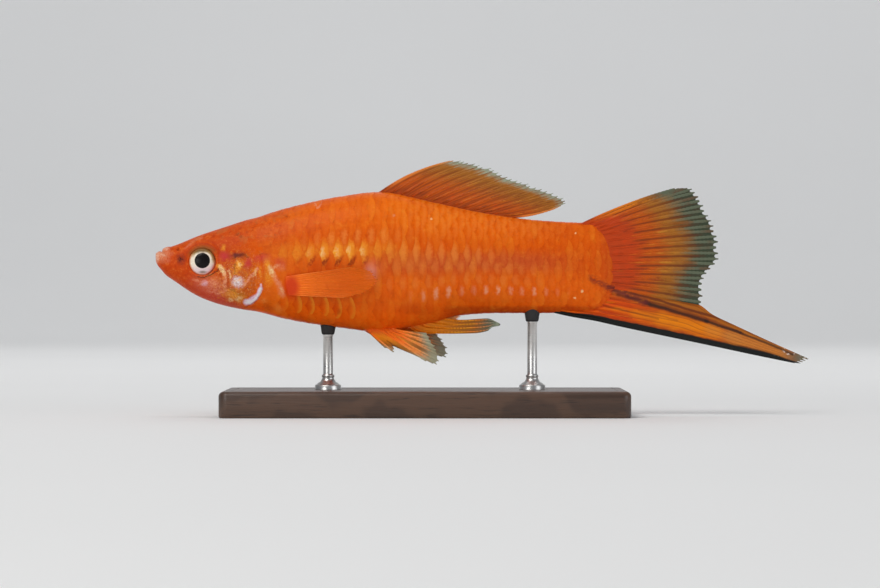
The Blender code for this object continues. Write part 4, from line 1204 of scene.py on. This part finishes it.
class SWORDTAIL_OT_dorsal_fin(bpy.types.Operator):
    """Make the back fin with its forked rays"""

    bl_idname = "swordtail.dorsal_fin"
    bl_label = "Back fin"

    def execute(self, context):
        rays = 14
        at = upright(fan(DORSAL_BASE, DORSAL_MARGIN, DORSAL_BOW), sway(0.25, 7.0, 0.6))
        paths = branching(np.linspace(0, 1, rays), 70, 0.40, 5, tips=0.018)
        stops = ((0.0, "fin_deep"), (0.25, "fin"), (0.80, "fin_tan"), (1.0, "ray_tip"))
        half = taper((-0.1, 0.50), (0.0, 0.28), (0.15, 0.08), (1.0, 0.035))
        lines = {"count": rays - 1, "end": 0.85, "strong": 0.45}
        thin = web_material("dorsal_web", stops, 0.75, 0.8, 1.0, lines, rim=0.6)
        columns = WEB_STEPS * (rays - 1) + 1
        sheet = web("dorsal_web", at, columns, 50, half, thin, scallops(paths, 0.035))
        adopt(sheet, "fin", "dorsal_fin")
        stops = ((0.0, "fin_deep"), (0.20, "fin"), (0.78, "fin_tan"), (0.98, "ray_tip"))
        width = taper((-0.1, 0.10), (0.0, 0.13), (0.5, 0.14), (0.85, 0.15), (1.0, 0.05))
        thick = taper((-0.1, 0.36), (0.0, 0.30), (0.3, 0.12), (1.0, 0.07))
        bony = ray_material("dorsal_rays", stops, 0.85, 0.8, rim=0.6)
        adopt(fin_rays("dorsal_rays", at, paths, width, thick, bony), "fin")
        return {"FINISHED"}


class SWORDTAIL_OT_tail_fin(bpy.types.Operator):
    """Make the fan of the tail with its forked rays"""

    bl_idname = "swordtail.tail_fin"
    bl_label = "Tail fan"

    def execute(self, context):
        rays, bunch = 14, 1.12  # the rays stand closer together at the top
        at = upright(fan(TAIL_ROOT, TAIL_MARGIN, TAIL_BOW), sway(0.35, 5.0, 0.4))
        places = np.linspace(0, 1, rays) ** bunch
        paths = branching(places, 110, 0.42, 6, tips=0.010, apart=0.12)
        root = ((0.0, "fin_root"), (0.16, "fin_root"))
        stops = (*root, (0.38, "fin"), (0.60, "fin_tan"), (0.84, "web_dark"))
        half = taper((-0.1, 0.75), (0.0, 0.50), (0.1, 0.22), (0.25, 0.08), (1.0, 0.035))
        lines = {"count": rays - 1, "end": 0.92, "bunch": bunch, "strong": 0.75, "start": 0.14}
        thin = web_material("tail_web", stops, 0.88, 0.6, 0.95, lines, dusk=0.25, lead=0.6)
        columns = WEB_STEPS * (rays - 1) + 1
        sheet = web("tail_web", at, columns, 70, half, thin, scallops(paths, 0.024))
        adopt(sheet, "fin", "tail_fin")
        stops = (*root, (0.36, "fin"), (0.60, "fin_tan"), (0.86, "clear"))
        width = taper(
            (-0.1, 0.13), (0.0, 0.16), (0.45, 0.20), (0.75, 0.26), (0.95, 0.27), (1.0, 0.10)
        )
        thick = taper((-0.1, 0.77), (0.0, 0.55), (0.1, 0.27), (0.25, 0.14), (1.0, 0.09))
        bony = ray_material("tail_rays", stops, 0.95, 0.8, lead=0.6)
        adopt(fin_rays("tail_rays", at, paths, width, thick, bony), "fin")
        return {"FINISHED"}


SWORD_MARKS = (
    ("fin_tan", 0.40, 0.9, 0.7, (70.0, -5.4), (76.0, -6.5)),
    ("fin_tan", 0.75, 0.8, 0.8, (77.0, -6.7), (84.0, -8.4), (90.0, -11.2), (96.0, -13.9)),
    ("amber", 0.40, 0.9, 0.45, (70.5, -8.0), (76.0, -9.2)),
    ("amber", 0.55, 0.9, 0.70, (73.5, -8.8), (78.0, -9.7)),
    ("amber", 0.90, 0.9, 0.90, (77.5, -9.6), (81.0, -10.3), (86.0, -11.6)),
    ("pale_tan", 0.45, 0.9, 0.80, (85.0, -11.2), (89.0, -12.6)),
    ("pale_tan", 0.75, 0.9, 0.90, (88.0, -12.2), (93.0, -14.0), (96.5, -15.2)),
    ("clear", 0.90, 0.7, (3.0, 1.6, -22.0), (99.8, -15.9)),
    ("umber", 0.45, 0.8, 0.12, (68.0, -7.3), (72.0, -8.3), (77.0, -9.6)),
    ("umber", 0.40, 0.8, 0.10, (68.0, -8.4), (73.0, -9.5)),
    ("umber", 0.30, 0.8, 0.10, (74.0, -8.2), (80.0, -9.8)),
    ("umber", 0.85, 0.6, 0.20, (72.0, -5.3), (75.0, -6.2), (77.3, -6.75), (81.9, -8.2),
     (86.5, -9.5)),
    ("umber", 0.60, 0.6, 0.14, (86.5, -9.5), (90.5, -11.3), (95.0, -13.4)),
    ("umber", 0.50, 0.7, 0.16, (75.8, -6.9), (81.9, -8.6), (86.0, -10.1), (90.0, -11.8)),
    ("dark", 0.45, 0.9, 0.22, (70.8, -5.8), (73.8, -6.75)),
    ("dark", 0.60, 0.8, 0.26, (72.4, -6.2), (75.6, -7.25)),
    ("dark", 0.92, 0.7, 0.30, (75.2, -7.1), (77.2, -7.75), (81.9, -9.1), (84.5, -9.95)),
    ("dark", 0.90, 0.6, 0.22, (84.3, -9.9), (86.5, -10.65), (89.6, -11.7)),
    ("dark", 0.75, 0.6, 0.17, (89.6, -11.7), (94.2, -13.5), (97.6, -15.0)),
)


class SWORDTAIL_OT_sword(bpy.types.Operator):
    """Make the long lower rays of the tail, the sword"""

    bl_idname = "swordtail.sword"
    bl_label = "Sword"

    def execute(self, context):
        def snake(x, h, u, v):
            return 0.30 * np.sin(v * 5.0) * smooth(0.2, 1.0, v)

        at = upright(strip(SWORD_UPPER, SWORD_LOWER), snake)
        body = taper((-0.1, 1.2), (0.0, 0.9), (0.10, 0.50), (0.25, 0.26), (0.7, 0.17), (1.0, 0.06))

        def half(u, v):
            ridge = 0.5 + 0.5 * np.cos(u * SWORD_GAPS * 2 * math.pi)
            edge = smooth(0.0, 0.06, u) * smooth(1.0, 0.95, u)
            joint = 0.5 + 0.5 * np.cos(v * 2 * math.pi * SWORD_JOINTS)
            swell = 0.62 + 0.38 * ridge * (1 - 0.25 * joint**6)
            return body(u, v) * swell * (0.35 + 0.65 * edge)

        def ragged(u):
            return 1 - 0.02 * (0.5 + 0.5 * np.cos(u * 26.0)) * smooth(0.0, 0.1, u)

        def deep(u, v):
            """Millimetres above the sword's lower edge."""
            return np.linalg.norm(at(u, v) - at(np.ones_like(u), v), axis=-1)

        sheet = web("sword", at, 97, 260, half, sword_material(), ragged, 0.0, {"deep": deep})
        adopt(sheet, "sword", "tail_sword")
        return {"FINISHED"}


def sword_material():
    f = Finish("sword", 0.40, Specular_IOR_Level=0.18, Coat_Weight=0.06, Coat_Roughness=0.25)
    x, h, flat = f.fish_place()
    u, v = f.uv("fin")
    deep = f.attribute("deep")
    warp = f.noise(0.45, 3.0, shift=7.0) - 0.5
    f.blend(f.ramp(v + warp * 0.2, 0.02, 0.35), f.colours.flank, f.colours.fin)
    f.paint(f.spot(flat, (70.5, -8.4), (5.0, 2.0), -14.0, 0.7) * 0.7, "scarlet")
    streak = f.noise(1.0, 3.0, stretch=(0.22, 1.0, 2.2), shift=1.0)
    f.paint(f.ramp(streak, 0.5, 0.75) * 0.6, "amber")
    f.paint(f.ramp(streak, 0.42, 0.28) * 0.45, "crimson")
    f.mark(f.wavy(flat, 0.5, 0.12, 2.0), SWORD_MARKS)
    tail_smear(f, flat)
    speck = f.noise(1.5, 3.0, shift=31.0)
    lines = f.maths("COSINE", u * (SWORD_GAPS * 2 * math.pi))
    f.paint(f.ramp(lines, -0.55, -0.95) * 0.30, "umber")
    # the black lower border, widest along the rear half of the sword
    wide = f.ramp(x, 60.0, 68.0, 0.50, 1.10) - f.ramp(x, 93.0, 99.0, 0.0, 0.7)
    soft = f.ramp(x, 80.0, 90.0, 0.12, 0.28)
    border = f.ramp((deep / wide + warp * 0.35 - 1.0) / soft, 1.0, -1.0)
    f.paint(border, "black")
    fleck = f.ramp(speck, 0.58, 0.66) * f.ramp(x, 94.0, 97.5) * f.ramp(u, 0.80, 0.60)
    f.paint(fleck * 0.8, "white")
    return f.done(alpha=f.ramp(x, 96.0, 100.5, 1.0, 0.75), bump=speck, depth=0.03)


class SWORDTAIL_OT_anal_fin(bpy.types.Operator):
    """Make the male's rod-shaped anal fin, the gonopodium"""

    bl_idname = "swordtail.anal_fin"
    bl_label = "Gonopodium"

    def execute(self, context):
        at = upright(strip(ANAL_UPPER, ANAL_LOWER))
        half = taper((0.0, 0.80), (0.3, 0.36), (0.8, 0.20), (1.0, 0.08))
        stops = ((0.0, "flank"), (0.25, "amber"), (0.66, "fin_tan"), (0.90, "clear"))
        lines = {"count": 3, "end": 1.0, "strong": 0.2}
        thin = web_material("anal_web", stops, 0.9, lines=lines, dusk=0.2)
        sheet = web("anal_web", at, 41, 90, half, thin, start=0.0)
        adopt(sheet, "fin", "anal_fin")
        v = np.linspace(0.02, 0.99, 90)
        paths = [
            np.stack([u0 + (u1 - u0) * v, v], axis=-1)
            for u0, u1 in ((0.08, 0.10), (0.36, 0.34), (0.64, 0.60), (0.93, 0.88))
        ]
        width = taper((0.0, 0.20), (0.5, 0.17), (0.85, 0.13), (1.0, 0.10))
        thick = taper((0.0, 0.95), (0.3, 0.50), (0.8, 0.31), (0.93, 0.24), (1.0, 0.12))
        root = ((0.0, "flank"), (0.3, "amber"))
        stops = (*root, (0.62, "gold"), (0.74, "peach"), (0.93, "ray_tip"))
        bony = ray_material("anal_rays", stops, 0.9, dusk=0.2)
        rods = fin_rays("anal_rays", at, np.array(paths), width, thick, bony, segment=0.5)
        adopt(rods, "fin")
        # the short pale rays over the root of the long ones
        over = upright(strip(ANAL_LOBE_UPPER, ANAL_LOBE_LOWER))
        stops = ((0.0, "flank"), (0.50, "fin_tan"), (1.0, "peach"))
        lines = {"count": 4, "end": 1.2, "strong": 0.3}
        pale = web_material("anal_lobe", stops, 0.75, 0.6, lines=lines)
        half = taper((0.0, 0.60), (0.6, 0.20), (1.0, 0.06))

        def frayed(u):
            return 1.0 - 0.07 * (0.5 - 0.5 * np.cos(u * 8 * math.pi)) - 0.10 * u

        adopt(web("anal_lobe", over, 33, 30, half, pale, frayed, 0.0), "fin")
        return {"FINISHED"}


class SWORDTAIL_OT_pectoral_fins(bpy.types.Operator):
    """Make the pair of clear fins behind the gill covers"""

    bl_idname = "swordtail.pectoral_fins"
    bl_label = "Pectoral fins"

    def execute(self, context):
        rays = 11
        lift = spline((-0.1, 0.0, 0.2, 1.0), (0.0, 0.15, 0.55, 1.6))
        # glow is partly painted light against the shade the fin casts on the body
        stops, fade = ((0.0, "glow"), (0.6, "glow"), (1.0, "sunny")), (0.1, 0.7)
        blob = PECTORAL_BLOB
        thin = web_material("pectoral_web", stops, 0.50, *fade, dusk=0.06, rim=0.1, blob=blob)
        bony = ray_material("pectoral_rays", stops, 0.55, *fade, dusk=0.08, rim=0.3, blob=blob)
        width = taper((-0.1, 0.12), (0.0, 0.12), (0.5, 0.07), (0.9, 0.08), (1.0, 0.05))
        thick = taper((-0.1, 0.16), (0.0, 0.15), (0.2, 0.075), (1.0, 0.045))
        half = taper((-0.1, 0.16), (0.0, 0.14), (0.2, 0.05), (1.0, 0.03))
        paths = branching(np.linspace(0, 1, rays), 60, 0.40, 7, tips=0.012, start=-0.04)
        wave = sway(0.10, 6.0, 0.0)
        for name, side in SIDES.items():

            def ripple(x, h, u, v, side=side):
                return side * (flank(x, h) + lift(v) + wave(x, h, u, v))

            at = upright(fan(PECTORAL_BASE, PECTORAL_MARGIN), ripple)
            reach, columns = scallops(paths, 0.02), 10 * (rays - 1) + 1
            sheet = web(f"pectoral_web_{name}", at, columns, 44, half, thin, reach, -0.04)
            adopt(sheet, "fin", f"pectoral_fin_{name}")
            adopt(fin_rays(f"pectoral_rays_{name}", at, paths, width, thick, bony), "fin")
        return {"FINISHED"}


class SWORDTAIL_OT_pelvic_fins(bpy.types.Operator):
    """Make the pair of fins under the belly"""

    bl_idname = "swordtail.pelvic_fins"
    bl_label = "Pelvic fins"

    def execute(self, context):
        spread = spline((-0.2, 0.0, 1.0), (0.95, 1.15, 3.0))
        stops = ((0.0, "lower"), (0.25, "amber"), (0.62, "fin_tan"), (0.95, "pale_tip"))
        thin = web_material("pelvic_web", stops, clear=0.8, clear_from=0.5, dusk=0.25)
        stops = ((0.0, "lower"), (0.25, "glow"), (0.62, "peach"), (0.95, "pale_tip"))
        bony = ray_material("pelvic_rays", stops, clear=0.95, dusk=0.3)
        width = taper((-0.2, 0.16), (0.0, 0.18), (0.5, 0.18), (0.85, 0.20), (1.0, 0.08))
        thick = taper((-0.2, 0.35), (0.0, 0.32), (0.3, 0.17), (1.0, 0.07))
        half = taper((-0.2, 0.30), (0.0, 0.26), (0.2, 0.10), (1.0, 0.045))
        paths = branching(PELVIC_RAYS, 64, 0.45, 8, tips=0.02, start=-0.15, apart=0.10)
        reach, wave = scallops(paths, 0.03), sway(0.18, 9.0, 1.0, 0.2)

        def notched(u):
            """The margin, with the deep notch behind the short first ray."""
            return reach(u) - 0.36 * hump(u - 0.22, 0.045) - 0.10 * smooth(0.2, 0.0, u)

        for name, side in SIDES.items():
            margin = [(x + PELVIC_SHIFT[name], h) for x, h in PELVIC_MARGIN]
            blade = turned_about(
                fan(PELVIC_BASE, margin), np.mean(PELVIC_BASE, axis=0), PELVIC_TILT[name]
            )

            def bent(x, h, u, v, side=side):
                return side * (spread(v) + wave(x, h, u, v))

            at = upright(blade, bent)
            sheet = web(f"pelvic_web_{name}", at, 121, 50, half, thin, notched, -0.2)
            adopt(sheet, "fin", f"pelvic_fin_{name}")
            adopt(fin_rays(f"pelvic_rays_{name}", at, paths, width, thick, bony), "fin")
        return {"FINISHED"}


# ------------------------------------------------------------------ eyes


def eye_material():
    f = Finish("wet_eye", 0.30, Specular_IOR_Level=0.12, Coat_Roughness=0.08)
    x, h, flat = f.fish_place()
    r = f.vector("DISTANCE", flat, (*EYE, 0.0), output="Value")
    inner = f.vector("DISTANCE", flat, (EYE[0], EYE[1] + PUPIL_RISE, 0.0), output="Value")
    fibre = f.noise(2.4, 4.0, shift=6.0) - 0.5
    height = h - EYE[1] - (x - EYE[0]) * 0.10 + fibre * 0.5
    f.blend(f.ramp(height, 0.0, -1.4) * 0.65, f.colours.iris, f.colours.lilac)
    f.paint(f.ramp(r + fibre * 0.3, 1.66, 1.98) * 0.60, "peach")
    beside = height + (x - EYE[0]) * 0.40
    shade = f.ramp(beside, -0.1, 1.1) * f.ramp(inner + fibre * 0.3, 1.28, 1.62)
    f.paint(shade * 0.90, "brass")
    # painted shade of the socket's upper rim, olive over the top of the eye
    f.paint(f.ramp(height, 1.1, 1.75) * 0.85, "olive")
    mark = f.spot(flat, (EYE[0] + 0.05, EYE[1] - 1.55), (0.50, 0.17), soft=0.8)
    f.paint(mark * 0.75, "olive")
    f.paint(f.ramp(r + fibre * 0.25, 1.84, 2.02) * 0.55, "bronze")
    f.paint(f.ramp(abs(fibre), 0.10, 0.25) * 0.20, "bronze")
    f.paint(f.ramp(inner, 1.21, 1.14), "pupil")
    wet = f.ramp(inner, 1.2, 1.7, 0.02, 0.22)
    rough = f.ramp(inner, 1.1, 1.3, 0.24, 0.36)
    return f.done(roughness=rough, coat=wet, bump=fibre, depth=0.02)


class SWORDTAIL_OT_eyes(bpy.types.Operator):
    """Turn the pair of eyes, with iris and raised pupil in one wet surface"""

    bl_idname = "swordtail.eyes"
    bl_label = "Eyes"

    def execute(self, context):
        wet = eye_material()
        for name, side in SIDES.items():

            def stand(points, side=side):
                """Lays the turned outline's axis down, so that it points out of the head."""
                across, up, out = points.T
                return np.stack(
                    [EYE[0] - side * across, side * (EYE_AXIS + out), EYE[1] + up], axis=-1
                )

            eye = turned(f"eyeball_{name}", EYE_PROFILE, wet, squash=stand)
            adopt(eye, "eye", f"eye_{name}")
        return {"FINISHED"}


# ------------------------------------------------------------------ stand


def wood_material():
    f = Finish("dark_wood", 0.42, Coat_Weight=0.25, Coat_Roughness=0.25)
    warp = f.noise(0.06, 3.0, shift=3.0)
    grain = f.noise(1.2, 5.0, 0.6, (0.03, 1.0, 1.0), 2.0)
    _, y, z = f.parts(f.bare)
    rings = f.maths("SINE", (y * 1000.0 + warp * 9.0 + z * 400.0) * 1.9)
    pores = f.noise(4.0, 2.0, 0.5, (0.06, 1.0, 1.0), 5.0)
    f.blend(grain, (0.020, 0.009, 0.005), (0.085, 0.038, 0.018))
    f.blend(f.ramp(rings, -0.2, 0.9) * 0.45, f.colour, (0.115, 0.055, 0.028))
    f.blend(f.ramp(pores, 0.60, 0.72) * 0.6, f.colour, (0.010, 0.005, 0.003))
    rough = f.ramp(grain, 0.3, 0.7, 0.34, 0.50)
    return f.done(roughness=rough, bump=pores * -1.0 + grain * 0.5, depth=0.06)


def steel_material():
    f = Finish("satin_steel", 0.28, Metallic=1.0)
    lines = f.noise(3.0, 3.0, 0.6, (0.05, 0.05, 4.0), 1.0)
    stain = f.noise(0.2, 3.0)
    f.blend(f.ramp(stain, 0.35, 0.7), (0.52, 0.51, 0.49), (0.64, 0.63, 0.61))
    return f.done(roughness=f.ramp(lines, 0.3, 0.7, 0.26, 0.38), bump=lines, depth=0.002)


def cup_material():
    f = Finish("soft_pad", 0.75)
    dust = f.noise(1.5, 3.0)
    f.blend(dust, (0.012, 0.012, 0.013), (0.030, 0.029, 0.028))
    return f.done(bump=f.noise(4.0, 2.0), depth=0.03)


class SWORDTAIL_OT_stand(bpy.types.Operator):
    """Make the wooden base, the two turned rods and their soft pads"""

    bl_idname = "swordtail.stand"
    bl_label = "Stand"

    def execute(self, context):
        adopt(make_base(wood_material()), "wood", "stand_base")
        steel, pad = steel_material(), cup_material()
        foot = BASE_THICK - SNOUT_HEIGHT
        for name, x in ROD_PLACES.items():
            belly = float(body_at(x)[1])
            outline = [(radius, foot + rise) for radius, rise in ROD_FOOT]
            outline += [(radius, belly + rise) for radius, rise in ROD_TOP]
            rod = turned(f"rod_{name}", outline, steel, centre=(x, 0.0))
            adopt(rod, "steel", f"stand_rod_{name}")
            outline = [(radius, belly + rise) for radius, rise in PAD_PROFILE]

            def hug(points):
                """Bends the pad's rim to the belly where it meets it."""
                lift = np.clip((points[:, 2] - (belly - 0.9)) / 0.9, 0, 1)
                points[:, 2] += lift * (flank_level(points[:, 0], points[:, 1]) - belly)
                return points

            adopt(turned(f"pad_{name}", outline, pad, centre=(x, 0.0), squash=hug), "steel")
        return {"FINISHED"}


def flank_level(x, y):
    """Height of the belly's surface at a place seen from below."""
    back, belly, half, back_round, belly_round = body_at(x)
    middle = (belly + back) / 2
    share = np.clip(np.abs(y) / half, 0, 1) ** (1 / belly_round)
    return middle - (middle - belly) * np.sqrt(1 - share * share)


def make_base(material):
    """A slab with round corners, a rolled edge and a fine groove round its top."""
    roll, level = BASE_ROLL, BASE_THICK - BASE_ROLL
    profile = [(0.55, 0.0), (0.15, 0.05), (0.0, 0.25), (0.0, level)]
    for k in range(1, 9):
        a = k / 8 * math.pi / 2
        profile.append((roll - roll * math.cos(a), level + roll * math.sin(a)))
    groove = BASE_THICK - 0.14
    profile += [(1.7, BASE_THICK), (1.78, groove), (1.98, groove), (2.06, BASE_THICK)]
    profile += [(inset, BASE_THICK) for inset in (4.0, 7.0, 10.0)]
    steps = 10
    rings = []
    for inset, z in profile:
        round_off = max(BASE_CORNER - inset, 0.05)
        ring = []
        for cx, cy, start in ((1, 1, 0), (-1, 1, 1), (-1, -1, 2), (1, -1, 3)):
            for k in range(steps):
                a = (start + k / (steps - 1)) * math.pi / 2
                x = cx * (BASE_LONG / 2 - inset - round_off) + round_off * math.cos(a)
                y = cy * (BASE_WIDE / 2 - inset - round_off) + round_off * math.sin(a)
                ring.append((STAND_X + x, y, z - SNOUT_HEIGHT))
        rings.append(ring)
    points = [p for ring in rings for p in ring]
    made = mesh_piece("base", points, capped_faces(len(rings), 4 * steps), material)
    flat = [abs(p.normal.z) > 0.99 or len(p.vertices) > 4 for p in made.data.polygons]
    made.data.polygons.foreach_set("use_smooth", [not each for each in flat])
    return made


# ------------------------------------------------------------------ settings


COLOURS = (
    ("back", (0.80, 0.120, 0.001), "Clear orange of the back"),
    ("sunny", (0.86, 0.155, 0.001), "Brighter orange under the back fin"),
    ("flank", (0.70, 0.090, 0.001), "Deeper orange-red of the flank"),
    # lower and belly are paler than the flank, partly as painted light for the underside that the
    # lamps reach less
    ("lower", (0.80, 0.110, 0.001), "Orange of the lower flank"),
    ("belly", (1.00, 0.125, 0.002), "Red-orange of the belly"),
    ("head", (0.57, 0.057, 0.004), "Orange-red of the head"),
    ("crown", (0.68, 0.095, 0.005), "Paler orange-red of the crown"),
    ("gold", (0.92, 0.38, 0.030), "Gold of the shining scales"),
    # cream also paints the glints on the scales and a highlight on the gill cover
    ("cream", (0.94, 0.70, 0.34), "Cream of the cheek ridge"),
    ("iris", (0.90, 0.80, 0.64), "Near white of the iris"),
    ("white", (0.80, 0.68, 0.60), "Off-white flecks"),
    ("pearl", (0.86, 0.79, 0.80), "White spot and rim of the gill cover"),
    ("lilac", (0.78, 0.55, 0.66), "Lilac rim of the gill cover"),
    ("rose", (0.56, 0.046, 0.040), "Rose red of the cheek"),
    ("plum", (0.13, 0.020, 0.018), "Purple brown of the head's dark marks"),
    ("brass", (0.42, 0.24, 0.060), "Golden shade on top of the iris"),
    # pink also paints the highlight crescents low on the flank
    ("pink", (0.82, 0.33, 0.18), "Pearly pink of cheek and scale edges"),
    # peach also paints the highlights on the scales' free edges and on the row above the gold
    ("peach", (0.86, 0.27, 0.05), "Pale free edges of the scales"),
    ("bronze", (0.44, 0.15, 0.035), "Bronze ground of the gill cover"),
    ("mauve", (0.50, 0.075, 0.025), "Mauve band along the flank"),
    ("scarlet", (0.70, 0.048, 0.001), "Deep red at the pectoral fin"),
    ("crimson", (0.42, 0.032, 0.004), "Crimson of cheek and tail root"),
    ("umber", (0.13, 0.024, 0.006), "Brown of streaks and dots"),
    ("dark", (0.026, 0.012, 0.008), "Near black of nostrils and sword lines"),
    ("black", (0.009, 0.010, 0.009), "Black of the sword's border"),
    ("pupil", (0.007, 0.006, 0.006), "Black of the pupil"),
    # olive also paints the shade of the socket's rim over the top of the eye and the skin above it
    ("olive", (0.16, 0.085, 0.020), "Olive shade on top of the iris"),
    ("lip", (0.76, 0.32, 0.17), "Pale pink of the lips"),
    ("pale_lip", (0.86, 0.56, 0.40), "Palest pink at the edge of the lips"),
    ("pale_tan", (0.58, 0.21, 0.035), "Tan of the sword's end"),
    # glow is brighter than the body, partly as painted light that makes up for the shade the
    # pectoral fins cast on the body behind them
    ("glow", (0.95, 0.165, 0.004), "Bright orange of the pectoral fins"),
    ("pale_tip", (0.38, 0.36, 0.23), "Cream tips of the pelvic fins"),
    ("fin", (0.52, 0.085, 0.002), "Orange of the fins"),
    ("fin_root", (0.52, 0.050, 0.004), "Red-orange at the root of the tail"),
    ("fin_deep", (0.36, 0.050, 0.002), "Brown-orange near a fin's root"),
    ("fin_tan", (0.36, 0.125, 0.012), "Tan of the fins' outer half"),
    ("amber", (0.80, 0.225, 0.002), "Bright orange-yellow of the sword"),
    ("clear", (0.115, 0.135, 0.085), "Grey-green of the fins' margins"),
    ("ray_tip", (0.34, 0.38, 0.27), "Grey-white of the ray tips"),
    ("web_dark", (0.042, 0.056, 0.030), "Dark web between tail rays"),
)


class SwordtailColours(bpy.types.PropertyGroup):
    """The colours that the materials are mixed from"""

    __annotations__ = {
        name: FloatVectorProperty(
            name=name.replace("_", " ").capitalize(),
            description=what,
            default=value,
            subtype="COLOR",
            size=3,
            min=0.0,
            max=1.0,
        )
        for name, value, what in COLOURS
    }


class SwordtailSizes(bpy.types.PropertyGroup):
    """The camera's lens, the key light and the scales' shape"""

    lens: FloatProperty(
        name="Lens",
        description="Focal length in millimetres",
        default=160.0,
        min=20.0,
        subtype="DISTANCE_CAMERA",
    )
    key_power: FloatProperty(
        name="Key light",
        description="Power of the key light in watts",
        default=2.55,
        min=0.0,
        subtype="POWER",
    )
    scale_lift: FloatProperty(
        name="Scale lift",
        description="How far a scale's free edge stands over the skin, in millimetres",
        default=0.048,
        min=0.0,
        max=0.3,
    )
    scale_steps: IntProperty(
        name="Scale detail", description="Steps across one scale", default=9, min=4, max=12
    )


class SWORDTAIL_OT_stage(bpy.types.Operator):
    """Set the floor, the backdrop, the lights and the camera"""

    bl_idname = "swordtail.stage"
    bl_label = "Stage"

    def execute(self, context):
        make_stage()
        return {"FINISHED"}


def area_light(name, place, aim, size, power, colour):
    """A round lamp, with places and sizes in metres and power in watts."""
    lamp = bpy.data.lights.new(name, "AREA")
    lamp.shape = "DISK"
    lamp.size = size
    lamp.energy = power
    lamp.color = colour
    made = placed(name, lamp)
    made.location = place
    made.rotation_euler = (Vector(aim) - Vector(place)).to_track_quat("-Z", "Y").to_euler()


AIM = (0.0, 0.0, 0.02)
WHITE = (1.0, 1.0, 1.0)
LIGHTS = (
    # name, place, aim, size, power and colour; the key light's power is a setting
    ("key", (-0.30, -0.42, 0.62), AIM, 0.45, None, (1.0, 0.98, 0.95)),
    ("fill", (0.62, -0.40, 0.16), AIM, 0.50, 1.3, (0.95, 0.97, 1.0)),
    ("low", (-0.36, -0.58, 0.035), (0.0, 0.0, 0.015), 0.40, 1.4, WHITE),
    ("rim", (0.05, 0.55, 0.60), AIM, 0.40, 0.5, WHITE),
    ("wall", (0.0, 0.35, 1.0), (0.0, 1.4, 0.35), 0.90, 4.6, WHITE),
)
CAMERA_PLACE = (0.00227, -0.6, 0.01865)


def make_stage():
    """The studio's world, its bent backdrop, the lamps and the camera, in metres."""
    scene = bpy.context.scene
    sizes = scene.swordtail_sizes
    scene.view_settings.view_transform = "Standard"
    world_light = bpy.data.worlds.new("studio")
    scene.world = world_light
    world_light.use_nodes = True
    background = world_light.node_tree.nodes["Background"]
    background.inputs["Color"].default_value = (0.90, 0.93, 1.0, 1.0)
    background.inputs["Strength"].default_value = 0.30

    f = Finish("floor", 0.8)
    tone = f.noise(0.004, 2.0)
    f.blend(tone, (0.84, 0.84, 0.83), (0.90, 0.90, 0.89))
    front, depth, height, bend, wide = -2.2, 1.4, 1.6, 0.5, 3.0
    profile = [(front, 0.0), (depth - bend, 0.0)]
    for k in range(1, 17):
        a = k / 16 * math.pi / 2
        profile.append((depth - bend + bend * math.sin(a), bend - bend * math.cos(a)))
    profile.append((depth, height))
    points = [(side * wide, y, z) for y, z in profile for side in (-1, 1)]
    faces = [(2 * k, 2 * k + 1, 2 * k + 3, 2 * k + 2) for k in range(len(profile) - 1)]
    mesh = bpy.data.meshes.new("backdrop")
    mesh.from_pydata(points, [], faces)
    mesh.polygons.foreach_set("use_smooth", [True] * len(faces))
    mesh.materials.append(f.done())
    backdrop = placed("backdrop", mesh)

    for name, place, aim, size, power, colour in LIGHTS:
        area_light(name, place, aim, size, power or sizes.key_power, colour)

    lens = bpy.data.cameras.new("camera")
    lens.lens = sizes.lens
    lens.sensor_width = 36.0
    lens.clip_start = 0.01
    lens.clip_end = 20.0
    camera = placed("camera", lens)
    camera.location = CAMERA_PLACE
    camera.rotation_euler = (math.pi / 2, 0.0, 0.0)
    scene.camera = camera


class SWORDTAIL_PT_panel(bpy.types.Panel):
    """Lists the steps and the settings"""

    bl_label = "Swordtail"
    bl_idname = "SWORDTAIL_PT_panel"
    bl_space_type = "VIEW_3D"
    bl_region_type = "UI"
    bl_category = "Swordtail"

    def draw(self, context):
        for step in STEPS:
            self.layout.operator(step.bl_idname)
        for group in (context.scene.swordtail_sizes, context.scene.swordtail_colours):
            for name in group.__annotations__:
                self.layout.prop(group, name)


STEPS = (
    SWORDTAIL_OT_skin,
    SWORDTAIL_OT_scales,
    SWORDTAIL_OT_eyes,
    SWORDTAIL_OT_dorsal_fin,
    SWORDTAIL_OT_tail_fin,
    SWORDTAIL_OT_sword,
    SWORDTAIL_OT_anal_fin,
    SWORDTAIL_OT_pectoral_fins,
    SWORDTAIL_OT_pelvic_fins,
    SWORDTAIL_OT_stand,
    SWORDTAIL_OT_stage,
)
CLASSES = (SwordtailColours, SwordtailSizes, *STEPS, SWORDTAIL_PT_panel)


def register():
    for each in CLASSES:
        bpy.utils.register_class(each)
    bpy.types.Scene.swordtail_colours = PointerProperty(type=SwordtailColours)
    bpy.types.Scene.swordtail_sizes = PointerProperty(type=SwordtailSizes)


def unregister():
    del bpy.types.Scene.swordtail_sizes
    del bpy.types.Scene.swordtail_colours
    for each in reversed(CLASSES):
        bpy.utils.unregister_class(each)


def main():
    register()
    for step in STEPS:
        group, name = step.bl_idname.split(".")
        getattr(getattr(bpy.ops, group), name)()


if __name__ == "__main__":
    main()
